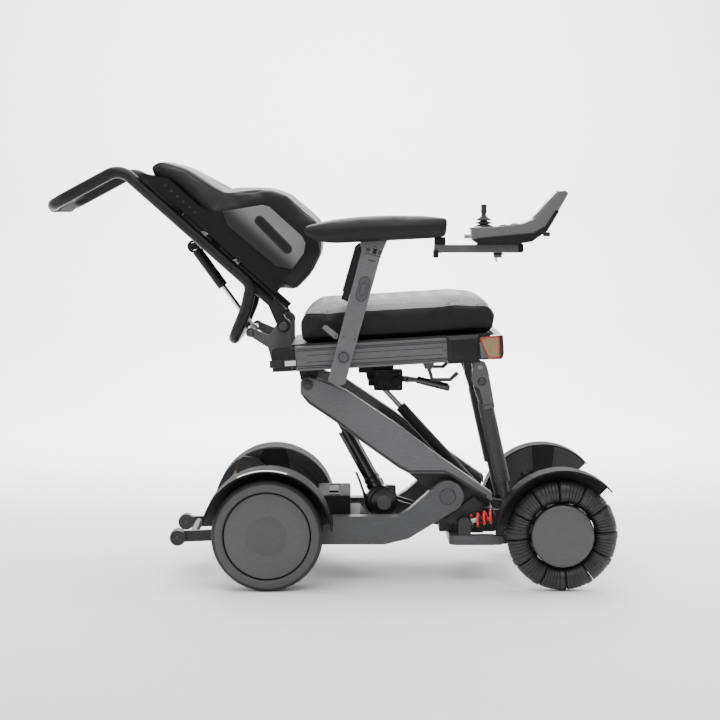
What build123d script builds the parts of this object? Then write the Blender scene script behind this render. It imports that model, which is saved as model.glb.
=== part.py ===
"""Power wheelchair with a lifting, reclining seat, modelled piece by piece in millimetres.

Frame: +X forward, -Y the user's right-hand side, +Z up.  The ground is Z = 0 and the origin
lies under the middle of the whole chair.
"""

from build123d import *
import math
import os

os.makedirs("parts", exist_ok=True)

# ---------------------------------------------------------------- driving dimensions
WHEEL_RADIUS = 132.5
WHEELBASE = 698.0
REAR_AXLE_X = -151.0
WHEEL_OUTER_Y = 290.0
REAR_TYRE_WIDTH = 84.0
FRONT_WHEEL_WIDTH = 60.0
TYRE_DEPTH = 28.0
COVER_DEPTH = 8.0
ROLLER_COUNT = 12
ROLLER_RADIUS = 28.5
ROLLER_SPLIT = 2.0
AXLE_RADIUS = 8.0
SHAFT_GAP = 0.05
PLAY = 0.3

BEAM_INNER_Y = 140.0
BEAM_OUTER_Y = 178.0
BEAM_HALF_HEIGHT = 33.0
BOSS_X = 280.0
BOSS_Z = 212.0
BOSS_RADIUS = 38.0
BOSS_PIN_RADIUS = 12.0

LIFT_ARM_REACH = 431.4
LIFT_ARM_ANGLE = 141.2
GUSSET_INNER_Y = 126.0
GUSSET_OUTER_Y = 136.0

SEAT_TILT = 3.4
SEAT_LINE_Z = 552.0
RAIL_INNER_Y = 190.0
RAIL_OUTER_Y = 226.0
RAIL_HALF_HEIGHT = 29.0
RAIL_REAR_S = -84.0
RAIL_FRONT_S = 276.0
CUSHION_HALF_WIDTH = 205.0
CUSHION_LENGTH = 480.0
CUSHION_HEIGHT = 92.0

BACK_HINGE_X = -113.0
BACK_HINGE_Z = 622.5
BACK_ANGLE = 138.4
BACK_HALF_WIDTH = 195.0
BACK_WING_Y = 122.0
TUBE_RADIUS = 14.0
TUBE_CENTRE_Y = 170.0

ARMREST_INNER_Y = 230.0
ARMREST_OUTER_Y = 246.0
PAD_INNER_Y = 213.0
PAD_OUTER_Y = 285.0
PAD_LENGTH = 336.0
ARM_PIVOT_X = 30.0
ARM_PIVOT_Z = 553.0
ARM_POST_ANGLE = 74.9

STRUT_CENTRE_Y = 205.0
STRUT_TUBE_RADIUS = 18.0
STRUT_ROD_RADIUS = 11.5
SPRING_CENTRE_Y = 167.0
SPRING_RADIUS = 17.0

# ---------------------------------------------------------------- derived places
FRONT_AXLE_X = REAR_AXLE_X + WHEELBASE
AXLE_Z = WHEEL_RADIUS
REAR_TYRE_INNER_Y = WHEEL_OUTER_Y - REAR_TYRE_WIDTH
FRONT_WHEEL_INNER_Y = WHEEL_OUTER_Y - FRONT_WHEEL_WIDTH
LIFT_TOP_X = BOSS_X + LIFT_ARM_REACH * math.cos(math.radians(LIFT_ARM_ANGLE))
LIFT_TOP_Z = BOSS_Z + LIFT_ARM_REACH * math.sin(math.radians(LIFT_ARM_ANGLE))
BEAM_WIDTH = BEAM_OUTER_Y - BEAM_INNER_Y

TILT = math.radians(SEAT_TILT)
SEAT_PLANE = Plane(
    origin=(0, 0, SEAT_LINE_Z),
    x_dir=(math.cos(TILT), 0, math.sin(TILT)),
    z_dir=(0, -1, 0),
)
BACK_DIR = math.radians(BACK_ANGLE)
BACK_PLANE = Plane(
    origin=(BACK_HINGE_X, 0, BACK_HINGE_Z),
    x_dir=(math.cos(BACK_DIR), 0, math.sin(BACK_DIR)),
    z_dir=(0, 1, 0),
)
POST_DIR = math.radians(ARM_POST_ANGLE)
POST_PLANE = Plane(
    origin=(ARM_PIVOT_X, 0, ARM_PIVOT_Z),
    x_dir=(math.cos(POST_DIR), 0, math.sin(POST_DIR)),
    z_dir=(0, -1, 0),
)


def side_plane(y):
    """The vertical plane at distance y to the chair's right, looking inwards: local x, y are X, Z."""
    return Plane.XZ.offset(y)


def save(piece, name):
    """Label one finished node and write its STEP file."""
    piece.part.label = name
    export_step(piece.part, f"parts/{name}.step")


def save_pair(piece, name):
    """Write a right-hand node and its mirror image on the left."""
    save(piece, name + "_right")
    with BuildPart() as left:
        add(piece.part.mirror(Plane.XZ))
    save(left, name + "_left")


def seat_point(s, h):
    """World X and Z of a point s along the seat rail and h above its centre line."""
    spot = SEAT_PLANE.from_local_coords(Vector(s, h, 0))
    return spot.X, spot.Z


def back_point(s, h):
    """World X and Z of a point s up the backrest and h in front of its hinge line."""
    spot = BACK_PLANE.from_local_coords(Vector(s, h, 0))
    return spot.X, spot.Z


# ---------------------------------------------------------------- wheels
def rear_tyre():
    """Wide solid tyre with a rounded tread."""
    half = REAR_TYRE_WIDTH / 2
    with BuildPart() as tyre:
        with BuildSketch(Plane.XY):
            with Locations((WHEEL_RADIUS - TYRE_DEPTH / 2, 0)):
                RectangleRounded(TYRE_DEPTH, REAR_TYRE_WIDTH, 13)
        revolve(axis=Axis.Y)
    centre = WHEEL_OUTER_Y - half
    with BuildPart() as placed:
        add(tyre.part.moved(Location((REAR_AXLE_X, -centre, AXLE_Z))))
    return placed


def rear_rim():
    """Drum-shaped rim that turns on the fixed axle, and the dished disc that closes its outside."""
    rim_radius = WHEEL_RADIUS - TYRE_DEPTH
    inner = REAR_TYRE_INNER_Y + 6
    outer = WHEEL_OUTER_Y - COVER_DEPTH - PLAY
    with BuildPart() as rim:
        with BuildSketch(side_plane(inner)):
            with Locations((REAR_AXLE_X, AXLE_Z)):
                Circle(rim_radius)
                Circle(AXLE_RADIUS + SHAFT_GAP, mode=Mode.SUBTRACT)
        extrude(amount=outer - inner)
        with BuildSketch(side_plane(WHEEL_OUTER_Y - COVER_DEPTH)):
            with Locations((REAR_AXLE_X, AXLE_Z)):
                Circle(rim_radius - 2)
        extrude(amount=COVER_DEPTH - 2)
        chamfer(rim.faces().sort_by(Axis.Y)[0].edges(), 2)
        with BuildSketch(side_plane(WHEEL_OUTER_Y - 2)):
            with Locations((REAR_AXLE_X, AXLE_Z)):
                Circle(46)
        extrude(amount=-1.2, mode=Mode.SUBTRACT)
    return rim


def rear_axle():
    """Fixed stub axle with a motor flange on the beam's outer face."""
    with BuildPart() as axle:
        with BuildSketch(side_plane(BEAM_OUTER_Y)):
            with Locations((REAR_AXLE_X, AXLE_Z)):
                Circle(62)
        extrude(amount=REAR_TYRE_INNER_Y + 5 - BEAM_OUTER_Y)
        with BuildSketch(side_plane(BEAM_OUTER_Y)):
            with Locations((REAR_AXLE_X, AXLE_Z)):
                Circle(AXLE_RADIUS)
        extrude(amount=WHEEL_OUTER_Y - COVER_DEPTH - 2 - BEAM_OUTER_Y)
        mirror(about=Plane.XZ)
    return axle


def front_hub():
    """Omni wheel drum that turns on the swing arm's axle, and its plain outer cap."""
    inner = FRONT_WHEEL_INNER_Y + 4
    outer = WHEEL_OUTER_Y - COVER_DEPTH - PLAY
    hub_radius = WHEEL_RADIUS - 2 * ROLLER_RADIUS - PLAY
    with BuildPart() as hub:
        with BuildSketch(side_plane(inner)):
            with Locations((FRONT_AXLE_X, AXLE_Z)):
                Circle(hub_radius)
                Circle(AXLE_RADIUS + SHAFT_GAP, mode=Mode.SUBTRACT)
        extrude(amount=outer - inner)
        with BuildSketch(side_plane(WHEEL_OUTER_Y - COVER_DEPTH)):
            with Locations((FRONT_AXLE_X, AXLE_Z)):
                Circle(hub_radius - 1.5)
        extrude(amount=COVER_DEPTH)
        chamfer(hub.faces().sort_by(Axis.Y)[0].edges(), 2)
    return hub


def front_rollers():
    """Twelve curved barrel rollers that follow each other round the omni wheel's rim."""
    mid_y = (FRONT_WHEEL_INNER_Y + WHEEL_OUTER_Y) / 2
    step = 360 / ROLLER_COUNT
    ring = WHEEL_RADIUS - ROLLER_RADIUS
    axle = Axis((FRONT_AXLE_X, 0, AXLE_Z), (0, -1, 0))
    with BuildPart() as rollers:
        for index in range(ROLLER_COUNT):
            angle = math.radians(index * step + 10 - (step - ROLLER_SPLIT) / 2)
            outward = (math.cos(angle), 0, math.sin(angle))
            centre = (FRONT_AXLE_X + ring * outward[0], -mid_y, AXLE_Z + ring * outward[2])
            with BuildSketch(Plane(origin=centre, x_dir=outward, z_dir=(-outward[2], 0, outward[0]))):
                Circle(ROLLER_RADIUS)
            revolve(axis=axle, revolution_arc=step - ROLLER_SPLIT)
    return rollers


def fender(axle_x, inner_y, outer_y, radius, wall, start, end):
    """Arched mudguard: a curved sheet over the wheel with a shallow inner flange."""
    with BuildPart() as guard:
        with BuildSketch(side_plane(inner_y)):
            with BuildLine():
                CenterArc((axle_x, AXLE_Z), radius, start, end - start)
                CenterArc((axle_x, AXLE_Z), radius - wall, start, end - start)
                for angle in (start, end):
                    Line(
                        (
                            axle_x + radius * math.cos(math.radians(angle)),
                            AXLE_Z + radius * math.sin(math.radians(angle)),
                        ),
                        (
                            axle_x + (radius - wall) * math.cos(math.radians(angle)),
                            AXLE_Z + (radius - wall) * math.sin(math.radians(angle)),
                        ),
                    )
            make_face()
        extrude(amount=outer_y - inner_y)
    return guard


# ---------------------------------------------------------------- chassis
def rear_beam():
    """Forged beam from the rear axle to the pivot boss, rising at its front end."""
    low = AXLE_Z - BEAM_HALF_HEIGHT - 4
    high = AXLE_Z + BEAM_HALF_HEIGHT - 2
    with BuildPart() as beam:
        with BuildSketch(side_plane(BEAM_INNER_Y)):
            with BuildLine():
                Polyline(
                    (REAR_AXLE_X, low),
                    (128, low),
                    (186, low + 14),
                    (BOSS_X + 17, BOSS_Z - 34),
                    (BOSS_X - 24, BOSS_Z + 29.5),
                    (190, high + 19),
                    (160, high),
                    (REAR_AXLE_X, high),
                    close=True,
                )
            make_face()
            with Locations((REAR_AXLE_X, (low + high) / 2)):
                Circle((high - low) / 2)
            with Locations((BOSS_X, BOSS_Z)):
                Circle(BOSS_RADIUS)
                Circle(BOSS_PIN_RADIUS + SHAFT_GAP, mode=Mode.SUBTRACT)
        extrude(amount=BEAM_WIDTH)
        with BuildSketch(side_plane(BEAM_INNER_Y)):
            with Locations((REAR_AXLE_X, AXLE_Z)):
                Circle(AXLE_RADIUS + SHAFT_GAP)
        extrude(amount=BEAM_WIDTH, mode=Mode.SUBTRACT)
        mirror(about=Plane.XZ)
    return beam


CROSS_TUBE_X = -70.0
CROSS_TUBE_RADIUS = 19.0


ANTI_TIP_X = -374.0
ANTI_TIP_Z = 105.0
ANTI_TIP_ARM_INNER_Y = 106.0
ANTI_TIP_ARM_OUTER_Y = 120.0
ANTI_TIP_WHEEL_RADIUS = 24.0
ANTI_TIP_PIN_RADIUS = 4.0


def anti_tip_arms():
    """The tube that joins the beams, and the two flat anti-tip arms clamped on it."""
    with BuildPart() as arms:
        with BuildSketch(side_plane(-BEAM_INNER_Y)):
            with Locations((CROSS_TUBE_X, AXLE_Z)):
                Circle(CROSS_TUBE_RADIUS)
        extrude(amount=2 * BEAM_INNER_Y)
        for side in (1, -1):
            start = ANTI_TIP_ARM_INNER_Y if side > 0 else -ANTI_TIP_ARM_OUTER_Y
            with BuildSketch(side_plane(start)):
                with BuildLine():
                    Polyline(
                        (ANTI_TIP_X, ANTI_TIP_Z - 13.5),
                        (CROSS_TUBE_X - 20, ANTI_TIP_Z - 2),
                        (CROSS_TUBE_X - 20, ANTI_TIP_Z + 40),
                        (CROSS_TUBE_X - 90, ANTI_TIP_Z + 22),
                        (ANTI_TIP_X, ANTI_TIP_Z + 13.5),
                        close=True,
                    )
                make_face()
                with Locations((ANTI_TIP_X, ANTI_TIP_Z)):
                    Circle(20)
                    Circle(ANTI_TIP_PIN_RADIUS + SHAFT_GAP, mode=Mode.SUBTRACT)
                with Locations((CROSS_TUBE_X, AXLE_Z)):
                    Circle(CROSS_TUBE_RADIUS + 10)
                    Circle(CROSS_TUBE_RADIUS + SHAFT_GAP, mode=Mode.SUBTRACT)
            extrude(amount=ANTI_TIP_ARM_OUTER_Y - ANTI_TIP_ARM_INNER_Y)
        with BuildSketch(side_plane(-ANTI_TIP_ARM_INNER_Y)):
            with Locations((ANTI_TIP_X + 34, ANTI_TIP_Z + 1)):
                Circle(10)
        extrude(amount=2 * ANTI_TIP_ARM_INNER_Y)
    return arms


def anti_tip_wheel():
    """Small solid wheel outside an anti-tip arm."""
    with BuildPart() as wheel:
        with BuildSketch(side_plane(ANTI_TIP_ARM_OUTER_Y + 1)):
            with Locations((ANTI_TIP_X, ANTI_TIP_Z)):
                Circle(ANTI_TIP_WHEEL_RADIUS)
                Circle(ANTI_TIP_PIN_RADIUS + SHAFT_GAP, mode=Mode.SUBTRACT)
        extrude(amount=22)
        chamfer(wheel.faces().sort_by(Axis.Y)[0].outer_wire().edges(), 3)
        chamfer(wheel.faces().sort_by(Axis.Y)[-1].outer_wire().edges(), 3)
    return wheel


def battery_pack():
    """Battery case slung between the beams, hung on the cross tube."""
    with BuildPart() as battery:
        with BuildSketch(side_plane(-92)):
            with BuildLine():
                Polyline(
                    (CROSS_TUBE_X + CROSS_TUBE_RADIUS, AXLE_Z - 36),
                    (70, AXLE_Z - 36),
                    (84, AXLE_Z - 26),
                    (84, AXLE_Z + 8),
                    (70, AXLE_Z + 24),
                    (CROSS_TUBE_X + CROSS_TUBE_RADIUS, AXLE_Z + 24),
                    close=True,
                )
            make_face()
        extrude(amount=184)
        fillet(battery.edges().filter_by(Axis.Y), 4)
        for start in (92, -BEAM_INNER_Y):
            with BuildSketch(side_plane(start)):
                with Locations((20, AXLE_Z - 8)):
                    RectangleRounded(90, 26, 5)
            extrude(amount=BEAM_INNER_Y - 92)
    return battery


CHEEK_INNER_Y = 96.0
CHEEK_OUTER_Y = 122.0
CHASSIS_FLOOR_Z = 118.0
LIFT_BASE_X = 129.0
LIFT_BASE_Z = 177.5
TILT_BASE_X = 374.0
TILT_BASE_Z = 196.0
TILT_CENTRE_Y = 60.0
FRONT_SHAFT_X = 433.0
FRONT_SHAFT_Z = 149.0
FRONT_SHAFT_RADIUS = 8.0


def front_chassis():
    """Cast box under the seat front, with cheeks round the boss pins and lugs for both actuators."""
    with BuildPart() as chassis:
        with BuildSketch(side_plane(-CHEEK_OUTER_Y)):
            with BuildLine():
                Polyline(
                    (262, CHASSIS_FLOOR_Z),
                    (398, CHASSIS_FLOOR_Z),
                    (404, 150),
                    (392, 176),
                    (300, 176),
                    (262, 160),
                    close=True,
                )
            make_face()
        extrude(amount=2 * CHEEK_OUTER_Y)
        for start in (CHEEK_INNER_Y, -CHEEK_OUTER_Y):
            with BuildSketch(side_plane(start)):
                with Locations((BOSS_X, BOSS_Z)):
                    Circle(BOSS_RADIUS)
                with BuildLine():
                    Polyline(
                        (BOSS_X - 26, 140),
                        (BOSS_X + 70, 140),
                        (BOSS_X + 32, BOSS_Z + 18),
                        (BOSS_X - 34, BOSS_Z),
                        close=True,
                    )
                make_face()
            extrude(amount=CHEEK_OUTER_Y - CHEEK_INNER_Y)
        for start in (CHEEK_OUTER_Y, -BEAM_INNER_Y):
            with BuildSketch(side_plane(start)):
                with Locations((332, 136)):
                    Rectangle(72, 36)
            extrude(amount=BEAM_INNER_Y - CHEEK_OUTER_Y)
        for start in (CHEEK_INNER_Y, -CHEEK_OUTER_Y):
            with BuildSketch(side_plane(start)):
                with Locations((BOSS_X, BOSS_Z)):
                    Circle(BOSS_PIN_RADIUS + SHAFT_GAP)
            extrude(amount=CHEEK_OUTER_Y - CHEEK_INNER_Y, mode=Mode.SUBTRACT)
        for start in (30, -42):
            with BuildSketch(side_plane(start)):
                with BuildLine():
                    Polyline(
                        (264, 122),
                        (264, 170),
                        (210, 168),
                        (LIFT_BASE_X + 4, LIFT_BASE_Z + 15),
                        (LIFT_BASE_X + 4, LIFT_BASE_Z - 15),
                        (200, 128),
                        close=True,
                    )
                make_face()
                with Locations((LIFT_BASE_X, LIFT_BASE_Z)):
                    Circle(16)
                    Circle(LIFT_PIN_RADIUS + SHAFT_GAP, mode=Mode.SUBTRACT)
            extrude(amount=12)
        for start in (TILT_CENTRE_Y + 15, TILT_CENTRE_Y - 25):
            with BuildSketch(side_plane(start)):
                with Locations((TILT_BASE_X, TILT_BASE_Z - 10)):
                    Rectangle(28, 20)
                with Locations((TILT_BASE_X, TILT_BASE_Z)):
                    Circle(14)
                    Circle(TILT_PIN_RADIUS + SHAFT_GAP, mode=Mode.SUBTRACT)
            extrude(amount=10)
        for start in (90, -104):
            with BuildSketch(side_plane(start)):
                with BuildLine():
                    Polyline(
                        (396, 122),
                        (FRONT_SHAFT_X + 4, FRONT_SHAFT_Z - 14),
                        (FRONT_SHAFT_X + 4, FRONT_SHAFT_Z + 14),
                        (394, 170),
                        close=True,
                    )
                make_face()
                with Locations((FRONT_SHAFT_X, FRONT_SHAFT_Z)):
                    Circle(15)
                    Circle(FRONT_SHAFT_RADIUS + SHAFT_GAP, mode=Mode.SUBTRACT)
            extrude(amount=14)
        for start in (BEAM_INNER_Y + PLAY, -BEAM_INNER_Y - PLAY - 9):
            with BuildSketch(side_plane(start)):
                with BuildLine():
                    Polyline(
                        (288, 140),
                        (270, 153),
                        (345, 209),
                        (367, 192),
                        (364, 173),
                        (314, 141),
                        close=True,
                    )
                make_face()
                with Locations((BOSS_X, BOSS_Z)):
                    Circle(BOSS_RADIUS + 4, mode=Mode.SUBTRACT)
            extrude(amount=9)
    return chassis


LIFT_PIN_RADIUS = 7.0
TILT_PIN_RADIUS = 6.0


SUBFRAME_INNER_Y = 156.0
SUBFRAME_OUTER_Y = 184.0
SUBFRAME_LOW_Z = 95.0
KNUCKLE_X = 406.0
KNUCKLE_Z = 106.0
KNUCKLE_PIN_RADIUS = 5.0


def front_subframe():
    """U-shaped lower bar: two legs that carry the swing arms, and the bar that joins them."""
    height = CHASSIS_FLOOR_Z - SUBFRAME_LOW_Z
    with BuildPart() as frame:
        with BuildSketch(Plane.XY.offset(SUBFRAME_LOW_Z)):
            with BuildLine():
                Polyline(
                    (284, -SUBFRAME_OUTER_Y),
                    (392, -SUBFRAME_OUTER_Y),
                    (392, -SUBFRAME_INNER_Y),
                    (312, -SUBFRAME_INNER_Y),
                    (312, SUBFRAME_INNER_Y),
                    (392, SUBFRAME_INNER_Y),
                    (392, SUBFRAME_OUTER_Y),
                    (284, SUBFRAME_OUTER_Y),
                    close=True,
                )
            make_face()
        extrude(amount=height)
        rear_corners = frame.edges().filter_by(Axis.Z).group_by(Axis.X)[0]
        fillet(rear_corners, 18)
        for start in (SUBFRAME_INNER_Y, SUBFRAME_OUTER_Y - 8, -SUBFRAME_OUTER_Y, -SUBFRAME_INNER_Y - 8):
            with BuildSketch(side_plane(start)):
                with Locations((391, KNUCKLE_Z)):
                    Rectangle(30, 21)
                with Locations((KNUCKLE_X, KNUCKLE_Z)):
                    Circle(10.5)
                    Circle(KNUCKLE_PIN_RADIUS + SHAFT_GAP, mode=Mode.SUBTRACT)
            extrude(amount=8)
    return frame


SPRING_REAR_X = 322.0
SPRING_REAR_Z = 146.0
SPRING_FRONT_X = 396.0
SPRING_FRONT_Z = 166.0


def spring_axis():
    """Unit direction of the spring, from its rear block up to the swing arm."""
    length = math.hypot(SPRING_FRONT_X - SPRING_REAR_X, SPRING_FRONT_Z - SPRING_REAR_Z)
    return (
        (SPRING_FRONT_X - SPRING_REAR_X) / length,
        0,
        (SPRING_FRONT_Z - SPRING_REAR_Z) / length,
    )


def spring_brackets():
    """Blocks on the lower bar, with an eye bolt for each suspension damper."""
    with BuildPart() as blocks:
        with BuildSketch(side_plane(SPRING_CENTRE_Y - 15)):
            with BuildLine():
                Polyline(
                    (306, CHASSIS_FLOOR_Z),
                    (336, CHASSIS_FLOOR_Z),
                    (336, 152),
                    (329, 160),
                    (313, 160),
                    (306, 152),
                    close=True,
                )
            make_face()
        extrude(amount=30)
        fillet(blocks.edges().filter_by(Axis.Y), 2)
        base = (SPRING_REAR_X, -SPRING_CENTRE_Y, SPRING_REAR_Z)
        with BuildSketch(Plane(origin=base, z_dir=spring_axis())):
            Circle(6)
        extrude(amount=48)
        mirror(about=Plane.XZ)
    return blocks


def chassis_pins():
    """All pins held by the chassis: arm bosses, actuator bases, cross shaft, knuckles, anti-tip."""
    with BuildPart() as pins:
        with BuildSketch(side_plane(CHEEK_INNER_Y)):
            with Locations((BOSS_X, BOSS_Z)):
                Circle(BOSS_PIN_RADIUS)
        extrude(amount=BEAM_OUTER_Y - CHEEK_INNER_Y)
        with BuildSketch(side_plane(BEAM_OUTER_Y)):
            with Locations((BOSS_X, BOSS_Z)):
                Circle(19)
        extrude(amount=4)
        chamfer(pins.faces().sort_by(Axis.Y)[0].edges(), 1.5)
        with BuildSketch(side_plane(ANTI_TIP_ARM_INNER_Y)):
            with Locations((ANTI_TIP_X, ANTI_TIP_Z)):
                Circle(ANTI_TIP_PIN_RADIUS)
        extrude(amount=ANTI_TIP_ARM_OUTER_Y - ANTI_TIP_ARM_INNER_Y + 23)
        with BuildSketch(side_plane(SUBFRAME_INNER_Y)):
            with Locations((KNUCKLE_X, KNUCKLE_Z)):
                Circle(KNUCKLE_PIN_RADIUS)
        extrude(amount=SUBFRAME_OUTER_Y - SUBFRAME_INNER_Y + 3)
        mirror(about=Plane.XZ)
        with BuildSketch(side_plane(-44)):
            with Locations((LIFT_BASE_X, LIFT_BASE_Z)):
                Circle(LIFT_PIN_RADIUS)
        extrude(amount=88)
        with BuildSketch(side_plane(TILT_CENTRE_Y - 27)):
            with Locations((TILT_BASE_X, TILT_BASE_Z)):
                Circle(TILT_PIN_RADIUS)
        extrude(amount=54)
        with BuildSketch(side_plane(-STRUT_CENTRE_Y - 16)):
            with Locations((FRONT_SHAFT_X, FRONT_SHAFT_Z)):
                Circle(FRONT_SHAFT_RADIUS)
        extrude(amount=2 * STRUT_CENTRE_Y + 32)
    return pins


def rear_fender():
    """Rear mudguard with the bracket that bolts it to the beam."""
    inner = 187.0
    with BuildPart() as guard:
        add(fender(REAR_AXLE_X, inner, 297, 156, 4, 5, 166).part)
        with BuildSketch(side_plane(BEAM_OUTER_Y)):
            with BuildLine():
                Polyline(
                    (REAR_AXLE_X - 40, 240),
                    (REAR_AXLE_X - 28, AXLE_Z + 66),
                    (REAR_AXLE_X - 20, AXLE_Z + 20),
                    (REAR_AXLE_X + 20, AXLE_Z + 20),
                    (REAR_AXLE_X + 28, AXLE_Z + 66),
                    (REAR_AXLE_X + 40, 240),
                    (REAR_AXLE_X + 30, AXLE_Z + 151),
                    (REAR_AXLE_X - 30, AXLE_Z + 151),
                    close=True,
                )
            make_face()
            with Locations((REAR_AXLE_X, AXLE_Z)):
                Circle(62.5, mode=Mode.SUBTRACT)
        extrude(amount=inner + 6 - BEAM_OUTER_Y)
        mirror(about=Plane.XZ)
    return guard


# ---------------------------------------------------------------- front suspension
FRONT_FENDER_INNER_Y = 226.0


def swing_arm():
    """Trailing arm from the knuckle pin to the front axle, with an upright for the spring."""
    with BuildPart() as arm:
        inner = SUBFRAME_INNER_Y + 8 + PLAY
        outer = SUBFRAME_OUTER_Y - 8 - PLAY
        with BuildSketch(side_plane(inner)):
            with Locations((KNUCKLE_X, KNUCKLE_Z)):
                Circle(10)
            with BuildLine():
                Polyline(
                    (KNUCKLE_X, KNUCKLE_Z - 10),
                    (KNUCKLE_X + 44, KNUCKLE_Z - 8),
                    (KNUCKLE_X + 44, KNUCKLE_Z + 14),
                    (KNUCKLE_X + 12, KNUCKLE_Z + 14),
                    (SPRING_FRONT_X + 12, SPRING_FRONT_Z + 13),
                    (SPRING_FRONT_X + 4, SPRING_FRONT_Z + 15),
                    (SPRING_FRONT_X - 1, SPRING_FRONT_Z - 18),
                    (KNUCKLE_X - 10, KNUCKLE_Z + 14),
                    close=True,
                )
            make_face()
            with Locations((KNUCKLE_X, KNUCKLE_Z)):
                Circle(KNUCKLE_PIN_RADIUS + SHAFT_GAP, mode=Mode.SUBTRACT)
        extrude(amount=outer - inner)
        washer = Plane(origin=(SPRING_FRONT_X, -SPRING_CENTRE_Y, SPRING_FRONT_Z), z_dir=spring_axis())
        with BuildSketch(washer.offset(-3)):
            Circle(SPRING_RADIUS - 1)
        extrude(amount=3.5)
        reach_y = 205.0
        with BuildSketch(side_plane(inner)):
            with Locations((KNUCKLE_X + 34, KNUCKLE_Z + 3)):
                Rectangle(20, 22)
        extrude(amount=reach_y - inner)
        with BuildSketch(side_plane(reach_y - 14)):
            with BuildLine():
                Polyline(
                    (KNUCKLE_X + 24, KNUCKLE_Z - 8),
                    (FRONT_AXLE_X, AXLE_Z - 20),
                    (FRONT_AXLE_X, AXLE_Z + 20),
                    (KNUCKLE_X + 24, KNUCKLE_Z + 14),
                    close=True,
                )
            make_face()
            with Locations((FRONT_AXLE_X, AXLE_Z)):
                Circle(20)
        extrude(amount=14)
        with BuildSketch(side_plane(reach_y)):
            with Locations((FRONT_AXLE_X, AXLE_Z)):
                Circle(20)
        extrude(amount=FRONT_WHEEL_INNER_Y + 3 - reach_y)
        with BuildSketch(side_plane(reach_y)):
            with Locations((FRONT_AXLE_X, AXLE_Z)):
                Circle(AXLE_RADIUS)
        extrude(amount=WHEEL_OUTER_Y - COVER_DEPTH - 2 - reach_y)
    return arm


def front_fender():
    """Front mudguard with a stay down to the swing arm's axle boss."""
    with BuildPart() as guard:
        add(fender(FRONT_AXLE_X, FRONT_FENDER_INNER_Y, 297, 158, 4, 43, 176).part)
        with BuildSketch(side_plane(FRONT_FENDER_INNER_Y)):
            with BuildLine():
                Polyline(
                    (FRONT_AXLE_X - 30, AXLE_Z + 153),
                    (FRONT_AXLE_X - 14, AXLE_Z + 16),
                    (FRONT_AXLE_X + 14, AXLE_Z + 16),
                    (FRONT_AXLE_X + 30, AXLE_Z + 153),
                    close=True,
                )
            make_face()
            with Locations((FRONT_AXLE_X, AXLE_Z)):
                Circle(20 + SHAFT_GAP, mode=Mode.SUBTRACT)
        extrude(amount=3)
    return guard


def shock_spring():
    """Coil spring round the damper rod, wound as a helix."""
    length = math.hypot(SPRING_FRONT_X - SPRING_REAR_X, SPRING_FRONT_Z - SPRING_REAR_Z)
    axis = spring_axis()
    wire = 3.0
    start_gap = 15.0
    coil_length = length - start_gap - 2 * wire - 5
    base = (
        SPRING_REAR_X + (start_gap + wire) * axis[0],
        -SPRING_CENTRE_Y,
        SPRING_REAR_Z + (start_gap + wire) * axis[2],
    )
    with BuildPart() as spring:
        with BuildLine():
            coil = Helix(
                pitch=coil_length / 3.5, height=coil_length, radius=SPRING_RADIUS - wire,
                center=base, direction=axis,
            )
        with BuildSketch(Plane(origin=coil @ 0, z_dir=coil % 0)):
            Circle(wire)
        sweep()
    return spring


# ---------------------------------------------------------------- lift arms
def arm_outline():
    """Side outline of the broad lift arm, cut concentrically round the boss."""
    Polyline(
        (LIFT_TOP_X - 18, LIFT_TOP_Z + 8),
        (LIFT_TOP_X + 4, LIFT_TOP_Z + 19),
        (-31, LIFT_TOP_Z + 12),
        (36, 468),
        (158, 386),
        (263, 307),
        (387, 220),
        (387, 200),
        (BOSS_X + 30, BOSS_Z + 37),
        (BOSS_X + 18, BOSS_Z + 47),
        (BOSS_X - 6, BOSS_Z + 55),
        (186, 268),
        (161, 281),
        (73, 344),
        (16, 388),
        (-55, 436),
        (LIFT_TOP_X - 18, LIFT_TOP_Z - 22),
        close=True,
    )


def lift_arm():
    """Broad outer lift arm."""
    with BuildPart() as arm:
        with BuildSketch(side_plane(BEAM_INNER_Y)):
            with BuildLine():
                arm_outline()
            make_face()
            with Locations((LIFT_TOP_X, LIFT_TOP_Z)):
                Circle(PIVOT_PIN_RADIUS + SHAFT_GAP, mode=Mode.SUBTRACT)
        extrude(amount=BEAM_WIDTH)
        mirror(about=Plane.XZ)
    return arm


PIVOT_PIN_RADIUS = 8.0
ARM_TUBE_X = -5.0
ARM_TUBE_Z = 420.7
ARM_TUBE_RADIUS = 11.0


def arm_gussets():
    """Inner plates that carry the arms on the boss pins, with spacers to the arms."""
    with BuildPart() as plates:
        for start in (GUSSET_INNER_Y, -GUSSET_OUTER_Y):
            with BuildSketch(side_plane(start)):
                with BuildLine():
                    Polyline(
                        (120, 400),
                        (158, 376),
                        (263, 298),
                        (380, 214),
                        (380, 200),
                        (BOSS_X + 40, BOSS_Z - 20),
                        (BOSS_X, BOSS_Z - 40),
                        (BOSS_X - 36, BOSS_Z + 4),
                        (161, 284),
                        (90, 336),
                        close=True,
                    )
                make_face()
                with Locations((BOSS_X, BOSS_Z)):
                    Circle(42)
                    Circle(BOSS_PIN_RADIUS + SHAFT_GAP, mode=Mode.SUBTRACT)
            extrude(amount=GUSSET_OUTER_Y - GUSSET_INNER_Y)
        for start in (GUSSET_OUTER_Y, -BEAM_INNER_Y):
            with BuildSketch(side_plane(start)):
                with Locations((180, 320), (130, 350), (340, 235)):
                    Circle(11)
            extrude(amount=BEAM_INNER_Y - GUSSET_OUTER_Y)
    return plates


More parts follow.
